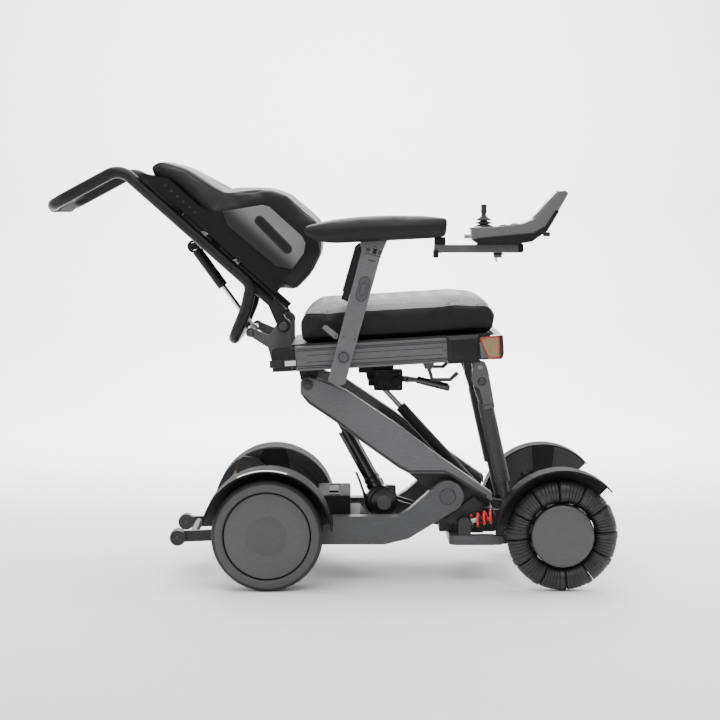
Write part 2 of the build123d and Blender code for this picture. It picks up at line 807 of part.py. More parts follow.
def arm_cross_tube():
    """Tube between the lift arms that the lift actuator pushes, and the arms' capped top pins."""
    with BuildPart() as tube:
        with BuildSketch(side_plane(-BEAM_INNER_Y)):
            with Locations((ARM_TUBE_X, ARM_TUBE_Z)):
                Circle(ARM_TUBE_RADIUS)
        extrude(amount=2 * BEAM_INNER_Y)
        for side in (1, -1):
            start = SEAT_HANGER_INNER_Y if side > 0 else -BEAM_OUTER_Y - 3
            with BuildSketch(side_plane(start)):
                with Locations((LIFT_TOP_X, LIFT_TOP_Z)):
                    Circle(PIVOT_PIN_RADIUS)
            extrude(amount=BEAM_OUTER_Y + 3 - SEAT_HANGER_INNER_Y)
            cap = BEAM_OUTER_Y if side > 0 else -BEAM_OUTER_Y - 3
            with BuildSketch(side_plane(cap)):
                with Locations((LIFT_TOP_X, LIFT_TOP_Z)):
                    Circle(11)
            extrude(amount=3)
    return tube


# ---------------------------------------------------------------- actuators
LIFT_ROD_RADIUS = 9.0
LIFT_TUBE_SETBACK = 76.0
ACTUATOR_GAP = 0.4


def lift_line():
    """Unit direction and length from the lift actuator's base pin to the arm tube."""
    dx = ARM_TUBE_X - LIFT_BASE_X
    dz = ARM_TUBE_Z - LIFT_BASE_Z
    length = math.hypot(dx, dz)
    return (dx / length, 0, dz / length), length


def lift_actuator_body():
    """Motor drum and outer tube of the lift actuator."""
    axis, length = lift_line()
    with BuildPart() as body:
        with BuildSketch(side_plane(-29)):
            with Locations((LIFT_BASE_X - 8, LIFT_BASE_Z + 1)):
                Circle(39)
        extrude(amount=58)
        fillet(body.faces().filter_by(Axis.Y).edges(), 8)
        with BuildSketch(Plane(origin=(LIFT_BASE_X, 0, LIFT_BASE_Z), z_dir=axis)):
            Circle(18.5)
        extrude(amount=length - LIFT_TUBE_SETBACK)
        with BuildSketch(side_plane(-30)):
            with Locations((LIFT_BASE_X, LIFT_BASE_Z)):
                Circle(LIFT_PIN_RADIUS + SHAFT_GAP)
        extrude(amount=60, mode=Mode.SUBTRACT)
        with BuildSketch(Plane(origin=(LIFT_BASE_X, 0, LIFT_BASE_Z), z_dir=axis).offset(60)):
            Circle(LIFT_ROD_RADIUS + ACTUATOR_GAP)
        extrude(amount=length, mode=Mode.SUBTRACT)
    return body


def lift_actuator_rod():
    """Sliding rod of the lift actuator, with an open hook round the arm tube."""
    axis, length = lift_line()
    with BuildPart() as rod:
        with BuildSketch(Plane(origin=(LIFT_BASE_X, 0, LIFT_BASE_Z), z_dir=axis).offset(128)):
            Circle(LIFT_ROD_RADIUS)
        extrude(amount=length - 128 - ARM_TUBE_RADIUS - 5)
        with BuildSketch(side_plane(-13)):
            with Locations((ARM_TUBE_X, ARM_TUBE_Z)):
                Circle(ARM_TUBE_RADIUS + 12)
                Circle(ARM_TUBE_RADIUS + 4, mode=Mode.SUBTRACT)
        extrude(amount=26)
    return rod


TILT_TOP_X = 99.0
TILT_TOP_Z = 494.0
TILT_TUBE_RADIUS = 13.5
TILT_ROD_RADIUS = 6.5


def tilt_line():
    """Unit direction and length from the tilt strut's base pin to its top pin."""
    dx = TILT_TOP_X - TILT_BASE_X
    dz = TILT_TOP_Z - TILT_BASE_Z
    length = math.hypot(dx, dz)
    return (dx / length, 0, dz / length), length


def tilt_actuator_tube():
    """Outer tube of the tilt actuator with a parallel motor housing."""
    axis, length = tilt_line()
    base = (TILT_BASE_X, -TILT_CENTRE_Y, TILT_BASE_Z)
    with BuildPart() as tube:
        with BuildSketch(Plane(origin=base, z_dir=axis).offset(8)):
            Circle(TILT_TUBE_RADIUS)
        extrude(amount=length - 110)
        with BuildSketch(side_plane(TILT_CENTRE_Y - 11)):
            with Locations((TILT_BASE_X, TILT_BASE_Z)):
                Circle(13)
        extrude(amount=22)
        with BuildSketch(side_plane(TILT_CENTRE_Y - 12)):
            with Locations((TILT_BASE_X, TILT_BASE_Z)):
                Circle(TILT_PIN_RADIUS + SHAFT_GAP)
        extrude(amount=24, mode=Mode.SUBTRACT)
        with BuildSketch(Plane(origin=base, z_dir=axis).offset(40)):
            Circle(TILT_ROD_RADIUS + ACTUATOR_GAP)
        extrude(amount=length, mode=Mode.SUBTRACT)
    return tube


def tilt_actuator_rod():
    """Sliding rod of the tilt actuator and its eye."""
    axis, length = tilt_line()
    base = (TILT_BASE_X, -TILT_CENTRE_Y, TILT_BASE_Z)
    with BuildPart() as rod:
        with BuildSketch(Plane(origin=base, z_dir=axis).offset(70)):
            Circle(TILT_ROD_RADIUS)
        extrude(amount=length - 70 - 9)
        with BuildSketch(side_plane(TILT_CENTRE_Y - 7)):
            with Locations((TILT_TOP_X, TILT_TOP_Z)):
                Circle(13.5)
                Circle(TILT_PIN_RADIUS + 2.0, mode=Mode.SUBTRACT)
        extrude(amount=14)
    return rod


RECLINE_BASE_X = -193.0
RECLINE_BASE_Z = 607.0
RECLINE_TOP_X = -341.0
RECLINE_TOP_Z = 810.0
RECLINE_TUBE_RADIUS = 13.0
RECLINE_ROD_RADIUS = 6.5
RECLINE_PIN_RADIUS = 5.0


def recline_line():
    """Unit direction and length from the recline clevis to its upper pin."""
    dx = RECLINE_TOP_X - RECLINE_BASE_X
    dz = RECLINE_TOP_Z - RECLINE_BASE_Z
    length = math.hypot(dx, dz)
    return (dx / length, 0, dz / length), length


def recline_rod():
    """Chrome rod of the recline actuator, eye at the clevis on the seat."""
    axis, length = recline_line()
    base = (RECLINE_BASE_X, 0, RECLINE_BASE_Z)
    with BuildPart() as rod:
        with BuildSketch(side_plane(-7)):
            with Locations((RECLINE_BASE_X, RECLINE_BASE_Z)):
                Circle(11)
        extrude(amount=14)
        with BuildSketch(Plane(origin=base, z_dir=axis)):
            Circle(RECLINE_ROD_RADIUS)
        extrude(amount=172)
        with BuildSketch(side_plane(-8)):
            with Locations((RECLINE_BASE_X, RECLINE_BASE_Z)):
                Circle(RECLINE_PIN_RADIUS + SHAFT_GAP)
        extrude(amount=16, mode=Mode.SUBTRACT)
    return rod


def recline_tube():
    """Black outer tube of the recline actuator, with its eye on the back frame's bar."""
    axis, length = recline_line()
    base = (RECLINE_BASE_X, 0, RECLINE_BASE_Z)
    with BuildPart() as tube:
        with BuildSketch(Plane(origin=base, z_dir=axis).offset(length - 122)):
            Circle(RECLINE_TUBE_RADIUS)
        extrude(amount=122 - RECLINE_PIN_RADIUS - 8)
        with BuildSketch(side_plane(-9)):
            with Locations((RECLINE_TOP_X, RECLINE_TOP_Z)):
                Circle(RECLINE_PIN_RADIUS + 11)
                Circle(RECLINE_PIN_RADIUS + 5, mode=Mode.SUBTRACT)
        extrude(amount=18)
        with BuildSketch(Plane(origin=base, z_dir=axis).offset(length - 124)):
            Circle(RECLINE_ROD_RADIUS + ACTUATOR_GAP)
        extrude(amount=84, mode=Mode.SUBTRACT)
    return tube


BACK_BAR_RADIUS = 8.0

# ---------------------------------------------------------------- struts
STRUT_TOP_X = 350.6
STRUT_TOP_Z = 517.0
STRUT_PIN_RADIUS = 6.0


def strut_line():
    """Unit direction and length from the strut's top pin to the front cross shaft."""
    dx = FRONT_SHAFT_X - STRUT_TOP_X
    dz = FRONT_SHAFT_Z - STRUT_TOP_Z
    length = math.hypot(dx, dz)
    return (dx / length, 0, dz / length), length


def strut_uppers():
    """Forked heads and outer tubes of both front struts, joined by a thin cross rod."""
    axis, length = strut_line()
    base = (STRUT_TOP_X, -STRUT_CENTRE_Y, STRUT_TOP_Z)
    head = Plane(origin=(STRUT_TOP_X, 0, STRUT_TOP_Z), x_dir=axis, z_dir=(0, -1, 0))
    with BuildPart() as upper:
        with BuildSketch(head.offset(STRUT_CENTRE_Y - 11)):
            with BuildLine():
                Polyline(
                    (0, -15),
                    (34, -19),
                    (88, -14),
                    (88, 14),
                    (34, 19),
                    (0, 15),
                    close=True,
                )
            make_face()
            Circle(15)
            with Locations((0, 0)):
                Circle(STRUT_PIN_RADIUS + SHAFT_GAP, mode=Mode.SUBTRACT)
        extrude(amount=22)
        with BuildSketch(Plane(origin=base, z_dir=axis).offset(76)):
            Circle(STRUT_TUBE_RADIUS)
        extrude(amount=196)
        with BuildSketch(Plane(origin=base, z_dir=axis).offset(100)):
            Circle(STRUT_ROD_RADIUS + ACTUATOR_GAP)
        extrude(amount=200, mode=Mode.SUBTRACT)
        mirror(about=Plane.XZ)
    return upper


def strut_lowers():
    """Inner rods of both front struts, with an eye round the front cross shaft."""
    axis, length = strut_line()
    base = (STRUT_TOP_X, -STRUT_CENTRE_Y, STRUT_TOP_Z)
    with BuildPart() as lower:
        with BuildSketch(Plane(origin=base, z_dir=axis).offset(190)):
            Circle(STRUT_ROD_RADIUS)
        extrude(amount=length - 190 - FRONT_SHAFT_RADIUS - 5)
        with BuildSketch(side_plane(STRUT_CENTRE_Y - 8)):
            with Locations((FRONT_SHAFT_X, FRONT_SHAFT_Z)):
                Circle(FRONT_SHAFT_RADIUS + 9)
                Circle(FRONT_SHAFT_RADIUS + 3.5, mode=Mode.SUBTRACT)
        extrude(amount=16)
        mirror(about=Plane.XZ)
    return lower


# ---------------------------------------------------------------- seat
SEAT_HANGER_INNER_Y = 112.0
SEAT_HANGER_OUTER_Y = 137.0
PAN_LOW = 17.0
PAN_HIGH = 32.7
CUSHION_LOW = 33.0
COVER_HALF_HEIGHT = 33.0


def seat_rails():
    """Extruded side rails with a groove along the outer face."""
    with BuildPart() as rails:
        with BuildSketch(SEAT_PLANE.offset(RAIL_INNER_Y)):
            with Locations(((RAIL_REAR_S + RAIL_FRONT_S) / 2, 0)):
                Rectangle(RAIL_FRONT_S - RAIL_REAR_S, 2 * RAIL_HALF_HEIGHT)
        extrude(amount=RAIL_OUTER_Y - RAIL_INNER_Y)
        for height in (-18.5, 0, 18.5):
            depth = 1.5 if height == 0 else 3
            width = 5 if height == 0 else 2.5
            with BuildSketch(SEAT_PLANE.offset(RAIL_OUTER_Y)):
                with Locations(((RAIL_REAR_S + RAIL_FRONT_S) / 2, height)):
                    Rectangle(RAIL_FRONT_S - RAIL_REAR_S, width)
            extrude(amount=-depth, mode=Mode.SUBTRACT)
        mirror(about=Plane.XZ)
    return rails


def seat_pan():
    """Folded seat pan between the rails, with hangers for the arms and the tilt strut."""
    with BuildPart() as pan:
        with BuildSketch(SEAT_PLANE.offset(-RAIL_INNER_Y)):
            with Locations((145, (PAN_LOW + PAN_HIGH) / 2)):
                Rectangle(474, PAN_HIGH - PAN_LOW)
        extrude(amount=2 * RAIL_INNER_Y)
        for start in (SEAT_HANGER_INNER_Y, -SEAT_HANGER_OUTER_Y):
            with BuildSketch(side_plane(start)):
                with BuildLine():
                    Polyline(
                        (LIFT_TOP_X - 16, LIFT_TOP_Z),
                        (LIFT_TOP_X + 16, LIFT_TOP_Z),
                        seat_point(LIFT_TOP_X + 46, PAN_LOW + 4),
                        seat_point(LIFT_TOP_X - 34, PAN_LOW + 4),
                        close=True,
                    )
                make_face()
                with Locations((LIFT_TOP_X, LIFT_TOP_Z)):
                    Circle(16)
                    Circle(PIVOT_PIN_RADIUS + SHAFT_GAP, mode=Mode.SUBTRACT)
            extrude(amount=SEAT_HANGER_OUTER_Y - SEAT_HANGER_INNER_Y)
        for start in (TILT_CENTRE_Y + 8, TILT_CENTRE_Y - 18):
            with BuildSketch(side_plane(start)):
                with BuildLine():
                    Polyline(
                        (TILT_TOP_X - 14, TILT_TOP_Z),
                        (TILT_TOP_X + 14, TILT_TOP_Z),
                        seat_point(TILT_TOP_X + 24, PAN_LOW + 4),
                        seat_point(TILT_TOP_X - 24, PAN_LOW + 4),
                        close=True,
                    )
                make_face()
                with Locations((TILT_TOP_X, TILT_TOP_Z)):
                    Circle(14)
                    Circle(TILT_PIN_RADIUS + SHAFT_GAP, mode=Mode.SUBTRACT)
            extrude(amount=10)
    return pan


def seat_pins():
    """Pins of the tilt strut and the two front struts, all held by the seat."""
    with BuildPart() as pins:
        with BuildSketch(side_plane(TILT_CENTRE_Y - 20)):
            with Locations((TILT_TOP_X, TILT_TOP_Z)):
                Circle(TILT_PIN_RADIUS)
        extrude(amount=40)
        for start in (STRUT_CENTRE_Y - 20, -STRUT_CENTRE_Y - 20):
            with BuildSketch(side_plane(start)):
                with Locations((STRUT_TOP_X, STRUT_TOP_Z)):
                    Circle(STRUT_PIN_RADIUS)
            extrude(amount=40)
        for start in (148, -HINGE_INNER_Y):
            with BuildSketch(side_plane(start)):
                with Locations((BACK_HINGE_X, BACK_HINGE_Z)):
                    Circle(BACK_PIN_RADIUS)
            extrude(amount=HINGE_INNER_Y - 148)
        with BuildSketch(side_plane(-164)):
            with Locations((RECLINE_BASE_X, RECLINE_BASE_Z)):
                Circle(RECLINE_PIN_RADIUS)
        extrude(amount=328)
        add(arm_pivots().part)
    return pins


def seat_brackets():
    """Castings on the seat frame: strut ears, latch ears, back hinges and the recline clevis."""
    with BuildPart() as ears:
        for start in (STRUT_CENTRE_Y - 18, STRUT_CENTRE_Y + 11.5):
            with BuildSketch(side_plane(start)):
                with BuildLine():
                    Polyline(
                        (STRUT_TOP_X - 13, STRUT_TOP_Z),
                        (STRUT_TOP_X + 13, STRUT_TOP_Z),
                        (STRUT_TOP_X + 1, BRACKET_TOP_Z + 1 * math.tan(TILT)),
                        (STRUT_TOP_X - 18, BRACKET_TOP_Z - 18 * math.tan(TILT)),
                        close=True,
                    )
                make_face()
                with Locations((STRUT_TOP_X, STRUT_TOP_Z)):
                    Circle(13)
                    Circle(STRUT_PIN_RADIUS + SHAFT_GAP, mode=Mode.SUBTRACT)
            extrude(amount=6.5)
        rail_low = SEAT_LINE_Z + LATCH_X * math.tan(TILT) - RAIL_HALF_HEIGHT / math.cos(TILT)
        with BuildSketch(side_plane(201)):
            with BuildLine():
                Polyline(
                    (LATCH_X - 9, LATCH_Z - 6),
                    (LATCH_X + 9, LATCH_Z - 6),
                    (LATCH_X + 14, rail_low + 14 * math.tan(TILT)),
                    (LATCH_X - 14, rail_low - 14 * math.tan(TILT)),
                    close=True,
                )
            make_face()
        extrude(amount=6)
        with BuildSketch(side_plane(190)):
            with Locations((LATCH_X, LATCH_Z)):
                Circle(3)
        extrude(amount=12)
        with BuildSketch(side_plane(150)):
            with BuildLine():
                Polyline(
                    (-140, 524),
                    (-96, 530),
                    (-96, BACK_HINGE_Z),
                    (BACK_HINGE_X - 16, BACK_HINGE_Z),
                    (-150, 600),
                    (RECLINE_BASE_X, RECLINE_BASE_Z + 11),
                    (RECLINE_BASE_X, RECLINE_BASE_Z - 11),
                    (-152, 570),
                    close=True,
                )
            make_face()
            with Locations((BACK_HINGE_X, BACK_HINGE_Z)):
                Circle(18)
                Circle(BACK_PIN_RADIUS + SHAFT_GAP, mode=Mode.SUBTRACT)
            with Locations((RECLINE_BASE_X, RECLINE_BASE_Z)):
                Circle(11)
                Circle(RECLINE_PIN_RADIUS + SHAFT_GAP, mode=Mode.SUBTRACT)
        extrude(amount=12)
        with BuildSketch(side_plane(162)):
            with BuildLine():
                Polyline((-138, 534), (-66, 536), (-66, 562), (-138, 560), close=True)
            make_face()
        extrude(amount=RAIL_INNER_Y - 162)
        mirror(about=Plane.XZ)
    return ears


BRACKET_TOP_Z = SEAT_LINE_Z + STRUT_TOP_X * math.tan(TILT) - COVER_HALF_HEIGHT / math.cos(TILT)


def rail_trims():
    """Moulded trims of the seat frame: rear end caps, front joint covers and the front bumper."""
    mid = RAIL_FRONT_S + 38
    bumper = RAIL_FRONT_S + 76 + 42
    with BuildPart() as caps:
        with BuildSketch(SEAT_PLANE.offset(RAIL_INNER_Y)):
            with Locations((RAIL_REAR_S - 28, -1)):
                Rectangle(56, 54)
        extrude(amount=RAIL_OUTER_Y - RAIL_INNER_Y)
        fillet(caps.edges().filter_by(Axis.Y).group_by(Axis.X)[0], 8)
        with BuildSketch(SEAT_PLANE.offset(RAIL_INNER_Y)):
            with Locations((mid, 0)):
                Rectangle(76, 2 * COVER_HALF_HEIGHT)
        extrude(amount=RAIL_OUTER_Y - RAIL_INNER_Y + 10)
        chamfer(caps.faces().sort_by(Axis.Y)[0].edges(), 9)
        mirror(about=Plane.XZ)
        with BuildSketch(SEAT_PLANE.offset(-RAIL_OUTER_Y)):
            with Locations((bumper + 8, 3)):
                Rectangle(16, 48)
        extrude(amount=2 * RAIL_OUTER_Y)
        fillet(caps.edges().filter_by(Axis.Y).group_by(Axis.X)[-1], 6)
    return caps


def side_lamps():
    """Amber lamp lenses at the front corners of the seat."""
    start = RAIL_FRONT_S + 76
    with BuildPart() as lamps:
        with BuildSketch(SEAT_PLANE.offset(RAIL_INNER_Y + 4)):
            with Locations((start + 21, 2)):
                RectangleRounded(42, 56, 10)
        extrude(amount=RAIL_OUTER_Y - RAIL_INNER_Y - 2)
        mirror(about=Plane.XZ)
    return lamps


def seat_cushion():
    """Seat cushion, kept a plain rounded block."""
    low = CUSHION_LOW
    with BuildPart() as cushion:
        with BuildSketch(SEAT_PLANE.offset(-CUSHION_HALF_WIDTH)):
            with BuildLine():
                Polyline(
                    (-78, low),
                    (CUSHION_LENGTH - 82, low),
                    (CUSHION_LENGTH - 72, low + 40),
                    (CUSHION_LENGTH - 96, low + CUSHION_HEIGHT - 10),
                    (CUSHION_LENGTH - 180, low + CUSHION_HEIGHT),
                    (-30, low + CUSHION_HEIGHT),
                    (-62, low + CUSHION_HEIGHT - 14),
                    (-80, low + 50),
                    close=True,
                )
            make_face()
        extrude(amount=2 * CUSHION_HALF_WIDTH)
        fillet(cushion.faces().filter_by(Axis.Y).edges(), 12)
    return cushion


HINGE_INNER_Y = 186.0
BACK_PIN_RADIUS = 7.0


BOX_INNER_Y = 84.0
BOX_OUTER_Y = 122.0
LEVER_PIVOT_X = 183.0
LEVER_PIVOT_Z = 490.0


def control_box():
    """Drive electronics box under the seat pan, with a hanger and the lever's pin."""
    with BuildPart() as box:
        with BuildSketch(side_plane(BOX_INNER_Y)):
            with Locations((137.5, 488)):
                RectangleRounded(70, 50, 4)
        extrude(amount=BOX_OUTER_Y - BOX_INNER_Y)
        with BuildSketch(side_plane(BOX_INNER_Y + 6)):
            with BuildLine():
                Polyline(
                    (66, 505),
                    (104, 505),
                    (150, 512),
                    seat_point(160, PAN_LOW),
                    seat_point(60, PAN_LOW),
                    close=True,
                )
            make_face()
        extrude(amount=24)
        with BuildSketch(side_plane(BOX_OUTER_Y - 22)):
            with Locations((LEVER_PIVOT_X - 6, LEVER_PIVOT_Z)):
                Rectangle(12, 14)
            with Locations((LEVER_PIVOT_X, LEVER_PIVOT_Z)):
                Circle(7)
        extrude(amount=8)
        with BuildSketch(side_plane(BOX_OUTER_Y - 22)):
            with Locations((LEVER_PIVOT_X, LEVER_PIVOT_Z)):
                Circle(3)
        extrude(amount=22)
    return box


def release_lever():
    """Freewheel lever with a long round grip."""
    y_plate = BOX_OUTER_Y - 13.5
    with BuildPart() as lever:
        with BuildSketch(side_plane(y_plate)):
            with Locations((LEVER_PIVOT_X, LEVER_PIVOT_Z)):
                Circle(8)
            with BuildLine():
                Polyline(
                    (LEVER_PIVOT_X, LEVER_PIVOT_Z + 7),
                    (LEVER_PIVOT_X + 30, LEVER_PIVOT_Z + 3),
                    (LEVER_PIVOT_X + 30, LEVER_PIVOT_Z - 7),
                    (LEVER_PIVOT_X, LEVER_PIVOT_Z - 7),
                    close=True,
                )
            make_face()
            with Locations((LEVER_PIVOT_X, LEVER_PIVOT_Z)):
                Circle(3 + SHAFT_GAP, mode=Mode.SUBTRACT)
        extrude(amount=10)
        grip_axis = (0.973, 0, -0.231)
        grip_base = (LEVER_PIVOT_X + 24, -(y_plate + 5), LEVER_PIVOT_Z - 1)
        with BuildSketch(Plane(origin=grip_base, z_dir=grip_axis)):
            Circle(9)
        extrude(amount=79)
        fillet(lever.faces().sort_by(Axis.X)[-1].edges(), 4)
    return lever


LATCH_X = 232.0
LATCH_Z = 528.0


def latch_handle():
    """Open D-shaped pulls under the front ends of both rails, turning on short pins."""
    with BuildPart() as handle:
        with BuildSketch(side_plane(192)):
            with BuildLine():
                Polyline(
                    (LATCH_X - 6, LATCH_Z + 3),
                    (LATCH_X + 6, LATCH_Z - 36),
                    (LATCH_X + 54, LATCH_Z - 36),
                    (LATCH_X + 74, LATCH_Z - 18),
                    (LATCH_X + 66, LATCH_Z - 12),
                    (LATCH_X + 50, LATCH_Z - 28),
                    (LATCH_X + 12, LATCH_Z - 28),
                    (LATCH_X + 6, LATCH_Z - 6),
                    close=True,
                )
            make_face()
            with Locations((LATCH_X, LATCH_Z)):
                Circle(6.5)
                Circle(3 + SHAFT_GAP, mode=Mode.SUBTRACT)
        extrude(amount=8)
        mirror(about=Plane.XZ)
    return handle


# ---------------------------------------------------------------- backrest
FRAME_H = 22.5


INNER_TUBE_Y = 154.0
INNER_TUBE_RADIUS = 12.0
LOOP_SPLIT_S = 186.0
HANDLE_SPLIT_S = 400.0


def back_frame():
    """Back tubes on the hinge pins, their cross bars, and the bent hoop below the back."""
    lug_y = 163.0
    with BuildPart() as frame:
        for side in (1, -1):
            low = back_point(20, FRAME_H)
            with BuildSketch(
                Plane(origin=(low[0], -side * INNER_TUBE_Y, low[1]), z_dir=BACK_PLANE.x_dir)
            ):
                Circle(INNER_TUBE_RADIUS)
            extrude(amount=LOOP_SPLIT_S + 40)
            lug_start = lug_y if side > 0 else -lug_y - 10
            with BuildSketch(side_plane(lug_start)):
                with Locations((BACK_HINGE_X, BACK_HINGE_Z)):
                    Circle(15)
                with BuildLine():
                    Polyline(
                        (BACK_HINGE_X - 12, BACK_HINGE_Z - 10),
                        (BACK_HINGE_X + 13, BACK_HINGE_Z + 6),
                        back_point(60, FRAME_H + 10),
                        back_point(60, FRAME_H - 11),
                        close=True,
                    )
                make_face()
                with Locations((BACK_HINGE_X, BACK_HINGE_Z)):
                    Circle(BACK_PIN_RADIUS + SHAFT_GAP, mode=Mode.SUBTRACT)
            extrude(amount=10)
        for s in (LOOP_SPLIT_S + 8, 300, 382):
            bar = back_point(s, FRAME_H)
            with BuildSketch(side_plane(-TUBE_CENTRE_Y)):
                with Locations(bar):
                    Circle(BACK_BAR_RADIUS)
            extrude(amount=2 * TUBE_CENTRE_Y)
        for start in (10, -16):
            with BuildSketch(side_plane(start)):
                with BuildLine():
                    Polyline(
                        back_point(288, FRAME_H),
                        back_point(312, FRAME_H),
                        (RECLINE_TOP_X - 6, RECLINE_TOP_Z - 6),
                        (RECLINE_TOP_X + 8, RECLINE_TOP_Z - 4),
                        close=True,
                    )
                make_face()
                with Locations((RECLINE_TOP_X, RECLINE_TOP_Z)):
                    Circle(9)
            extrude(amount=6)
        with BuildSketch(side_plane(-14)):
            with Locations((RECLINE_TOP_X, RECLINE_TOP_Z)):
                Circle(RECLINE_PIN_RADIUS)
        extrude(amount=28)
        top = back_point(HANDLE_SPLIT_S, FRAME_H)
        bend = back_point(LOOP_SPLIT_S - 62, FRAME_H)
        with BuildLine():
            FilletPolyline(
                (top[0], -TUBE_CENTRE_Y, top[1]),
                (bend[0], -TUBE_CENTRE_Y, bend[1]),
                (-204, -TUBE_CENTRE_Y, 662),
                (-233, -TUBE_CENTRE_Y, 592),
                (-233, TUBE_CENTRE_Y, 592),
                (-204, TUBE_CENTRE_Y, 662),
                (bend[0], TUBE_CENTRE_Y, bend[1]),
                (top[0], TUBE_CENTRE_Y, top[1]),
                radius=[30, 40, 34, 34, 40, 30],
            )
        with BuildSketch(
            Plane(origin=(top[0], -TUBE_CENTRE_Y, top[1]), z_dir=-1 * Vector(*BACK_PLANE.x_dir))
        ):
            Circle(TUBE_RADIUS)
        sweep()
    return frame


HANDLE_REAR_X = -(FRONT_AXLE_X + WHEEL_RADIUS) + TUBE_RADIUS


def push_handle():
    """One bent tube that continues the back tubes into a grip across behind the chair."""
    start = back_point(HANDLE_SPLIT_S + PLAY, FRAME_H)
    bend = back_point(HANDLE_SPLIT_S + 141, FRAME_H)
    with BuildPart() as handle:
        with BuildLine():
            FilletPolyline(
                (start[0], -TUBE_CENTRE_Y, start[1]),
                (bend[0], -TUBE_CENTRE_Y, bend[1]),
                (HANDLE_REAR_X, -TUBE_CENTRE_Y, HANDLE_GRIP_Z),
                (HANDLE_REAR_X, TUBE_CENTRE_Y, HANDLE_GRIP_Z),
                (bend[0], TUBE_CENTRE_Y, bend[1]),
                (start[0], TUBE_CENTRE_Y, start[1]),
                radius=[45, 46, 46, 45],
            )
        with BuildSketch(
            Plane(origin=(start[0], -TUBE_CENTRE_Y, start[1]), z_dir=BACK_PLANE.x_dir)
        ):
            Circle(TUBE_RADIUS)
        sweep()
    return handle


HANDLE_GRIP_Z = 911.0


def back_shell():
    """Moulded backrest shell: a panel behind the cushion and side walls that hold it."""
    with BuildPart() as shell:
        with BuildSketch(BACK_PLANE.offset(-BACK_HALF_WIDTH)):
            with BuildLine():
                Polyline((66, 46), (497, 46), (480, 58), (68, 58), close=True)
            make_face()
        extrude(amount=2 * BACK_HALF_WIDTH)
        for start in (-BACK_HALF_WIDTH, BACK_HALF_WIDTH - 8):
            with BuildSketch(BACK_PLANE.offset(start)):
                with BuildLine():
                    Polyline(
                        (66, 46),
                        (497, 46),
                        (473, 60),
                        (441, 80),
                        (421, 82),
                        (338, 82),
                        (315, 87),
                        (289, 109),
                        (229, 176),
                        (110, 182),
                        (84, 160),
                        (75, 116),
                        (69, 73),
                        close=True,
                    )
                make_face()
                with Locations(*[(336 + 19 * index, 65) for index in range(6)]):
                    Circle(3, mode=Mode.SUBTRACT)
            extrude(amount=8)
        mount_low = FRAME_H + TUBE_RADIUS
        for s in (250, 372):
            for y in (-TUBE_CENTRE_Y, TUBE_CENTRE_Y):
                with BuildSketch(BACK_PLANE.offset(y - 8)):
                    with Locations((s, (mount_low + 50) / 2)):
                        Rectangle(30, 50 - mount_low)
                extrude(amount=16)
    return shell


def back_side_trims():
    """Satin side panels on the shell's wings, each with a long slot recess."""
    with BuildPart() as trims:
        with BuildSketch(BACK_PLANE.offset(BACK_HALF_WIDTH)):
            with BuildLine():
                Polyline(
                    (289, 109),
                    (229, 183),
                    (214, 191),
                    (109, 190),
                    (93, 184),
                    (80, 163),
                    (75, 116),
                    (110, 96),
                    (260, 92),
                    close=True,
                )
            make_face()
        extrude(amount=4)
        with BuildSketch(BACK_PLANE.offset(BACK_HALF_WIDTH + 4)):
            with Locations(Location((162, 147.5, 0), (0, 0, 4))):
                SlotOverall(118, 24)
        extrude(amount=-2, mode=Mode.SUBTRACT)
        mirror(about=Plane.XZ)
    return trims


def back_cushion():
    """Backrest cushion, kept a plain curved block."""
    half = BACK_HALF_WIDTH - 8 - PLAY
    with BuildPart() as cushion:
        with BuildSketch(BACK_PLANE.offset(-half)):
            with BuildLine():
                Polyline(
                    (66, 58 + PLAY),
                    (480, 58 + PLAY),
                    (498, 70),
                    (490, 96),
                    (432, 125),
                    (324, 152),
                    (239, 230),
                    (205, 244),
                    (100, 246),
                    (44, 198),
                    (24, 140),
                    (30, 88),
                    (58, 74),
                    close=True,
                )
            make_face()
        extrude(amount=2 * half)
        with BuildSketch(BACK_PLANE.offset(-BACK_WING_Y)):
            with BuildLine():
                Polyline(
                    (-20, 152), (60, 158), (150, 166), (250, 150), (350, 128), (420, 160),
                    (350, 300), (-20, 300), close=True,
                )
            make_face()
        extrude(amount=2 * BACK_WING_Y, mode=Mode.SUBTRACT)
    return cushion


# ---------------------------------------------------------------- armrests and joystick
ARM_PIN_RADIUS = 6.0
PAD_REAR_X = -62.0
PAD_LOW_Z = 822.0


def pad_floor(x):
    """Height of an arm pad's underside at a place along it."""
    return PAD_LOW_Z + (x - PAD_REAR_X - 54) * 0.052


def arm_pivots():
    """Pins on the rails that the armrests turn on, with flat caps outside the posts."""
    with BuildPart() as pivots:
        with BuildSketch(side_plane(RAIL_OUTER_Y)):
            with Locations((ARM_PIVOT_X, ARM_PIVOT_Z)):
                Circle(ARM_PIN_RADIUS)
        extrude(amount=ARMREST_OUTER_Y + PLAY - RAIL_OUTER_Y)
        with BuildSketch(side_plane(ARMREST_OUTER_Y + PLAY)):
            with Locations((ARM_PIVOT_X, ARM_PIVOT_Z)):
                Circle(8.5)
        extrude(amount=3)
        with BuildSketch(side_plane(RAIL_OUTER_Y)):
            with Locations((ARM_PIVOT_X, ARM_PIVOT_Z)):
                Circle(12)
        extrude(amount=ARMREST_INNER_Y - PLAY - RAIL_OUTER_Y)
        mirror(about=Plane.XZ)
    return pivots


PAD_LOW_Z = 822.0


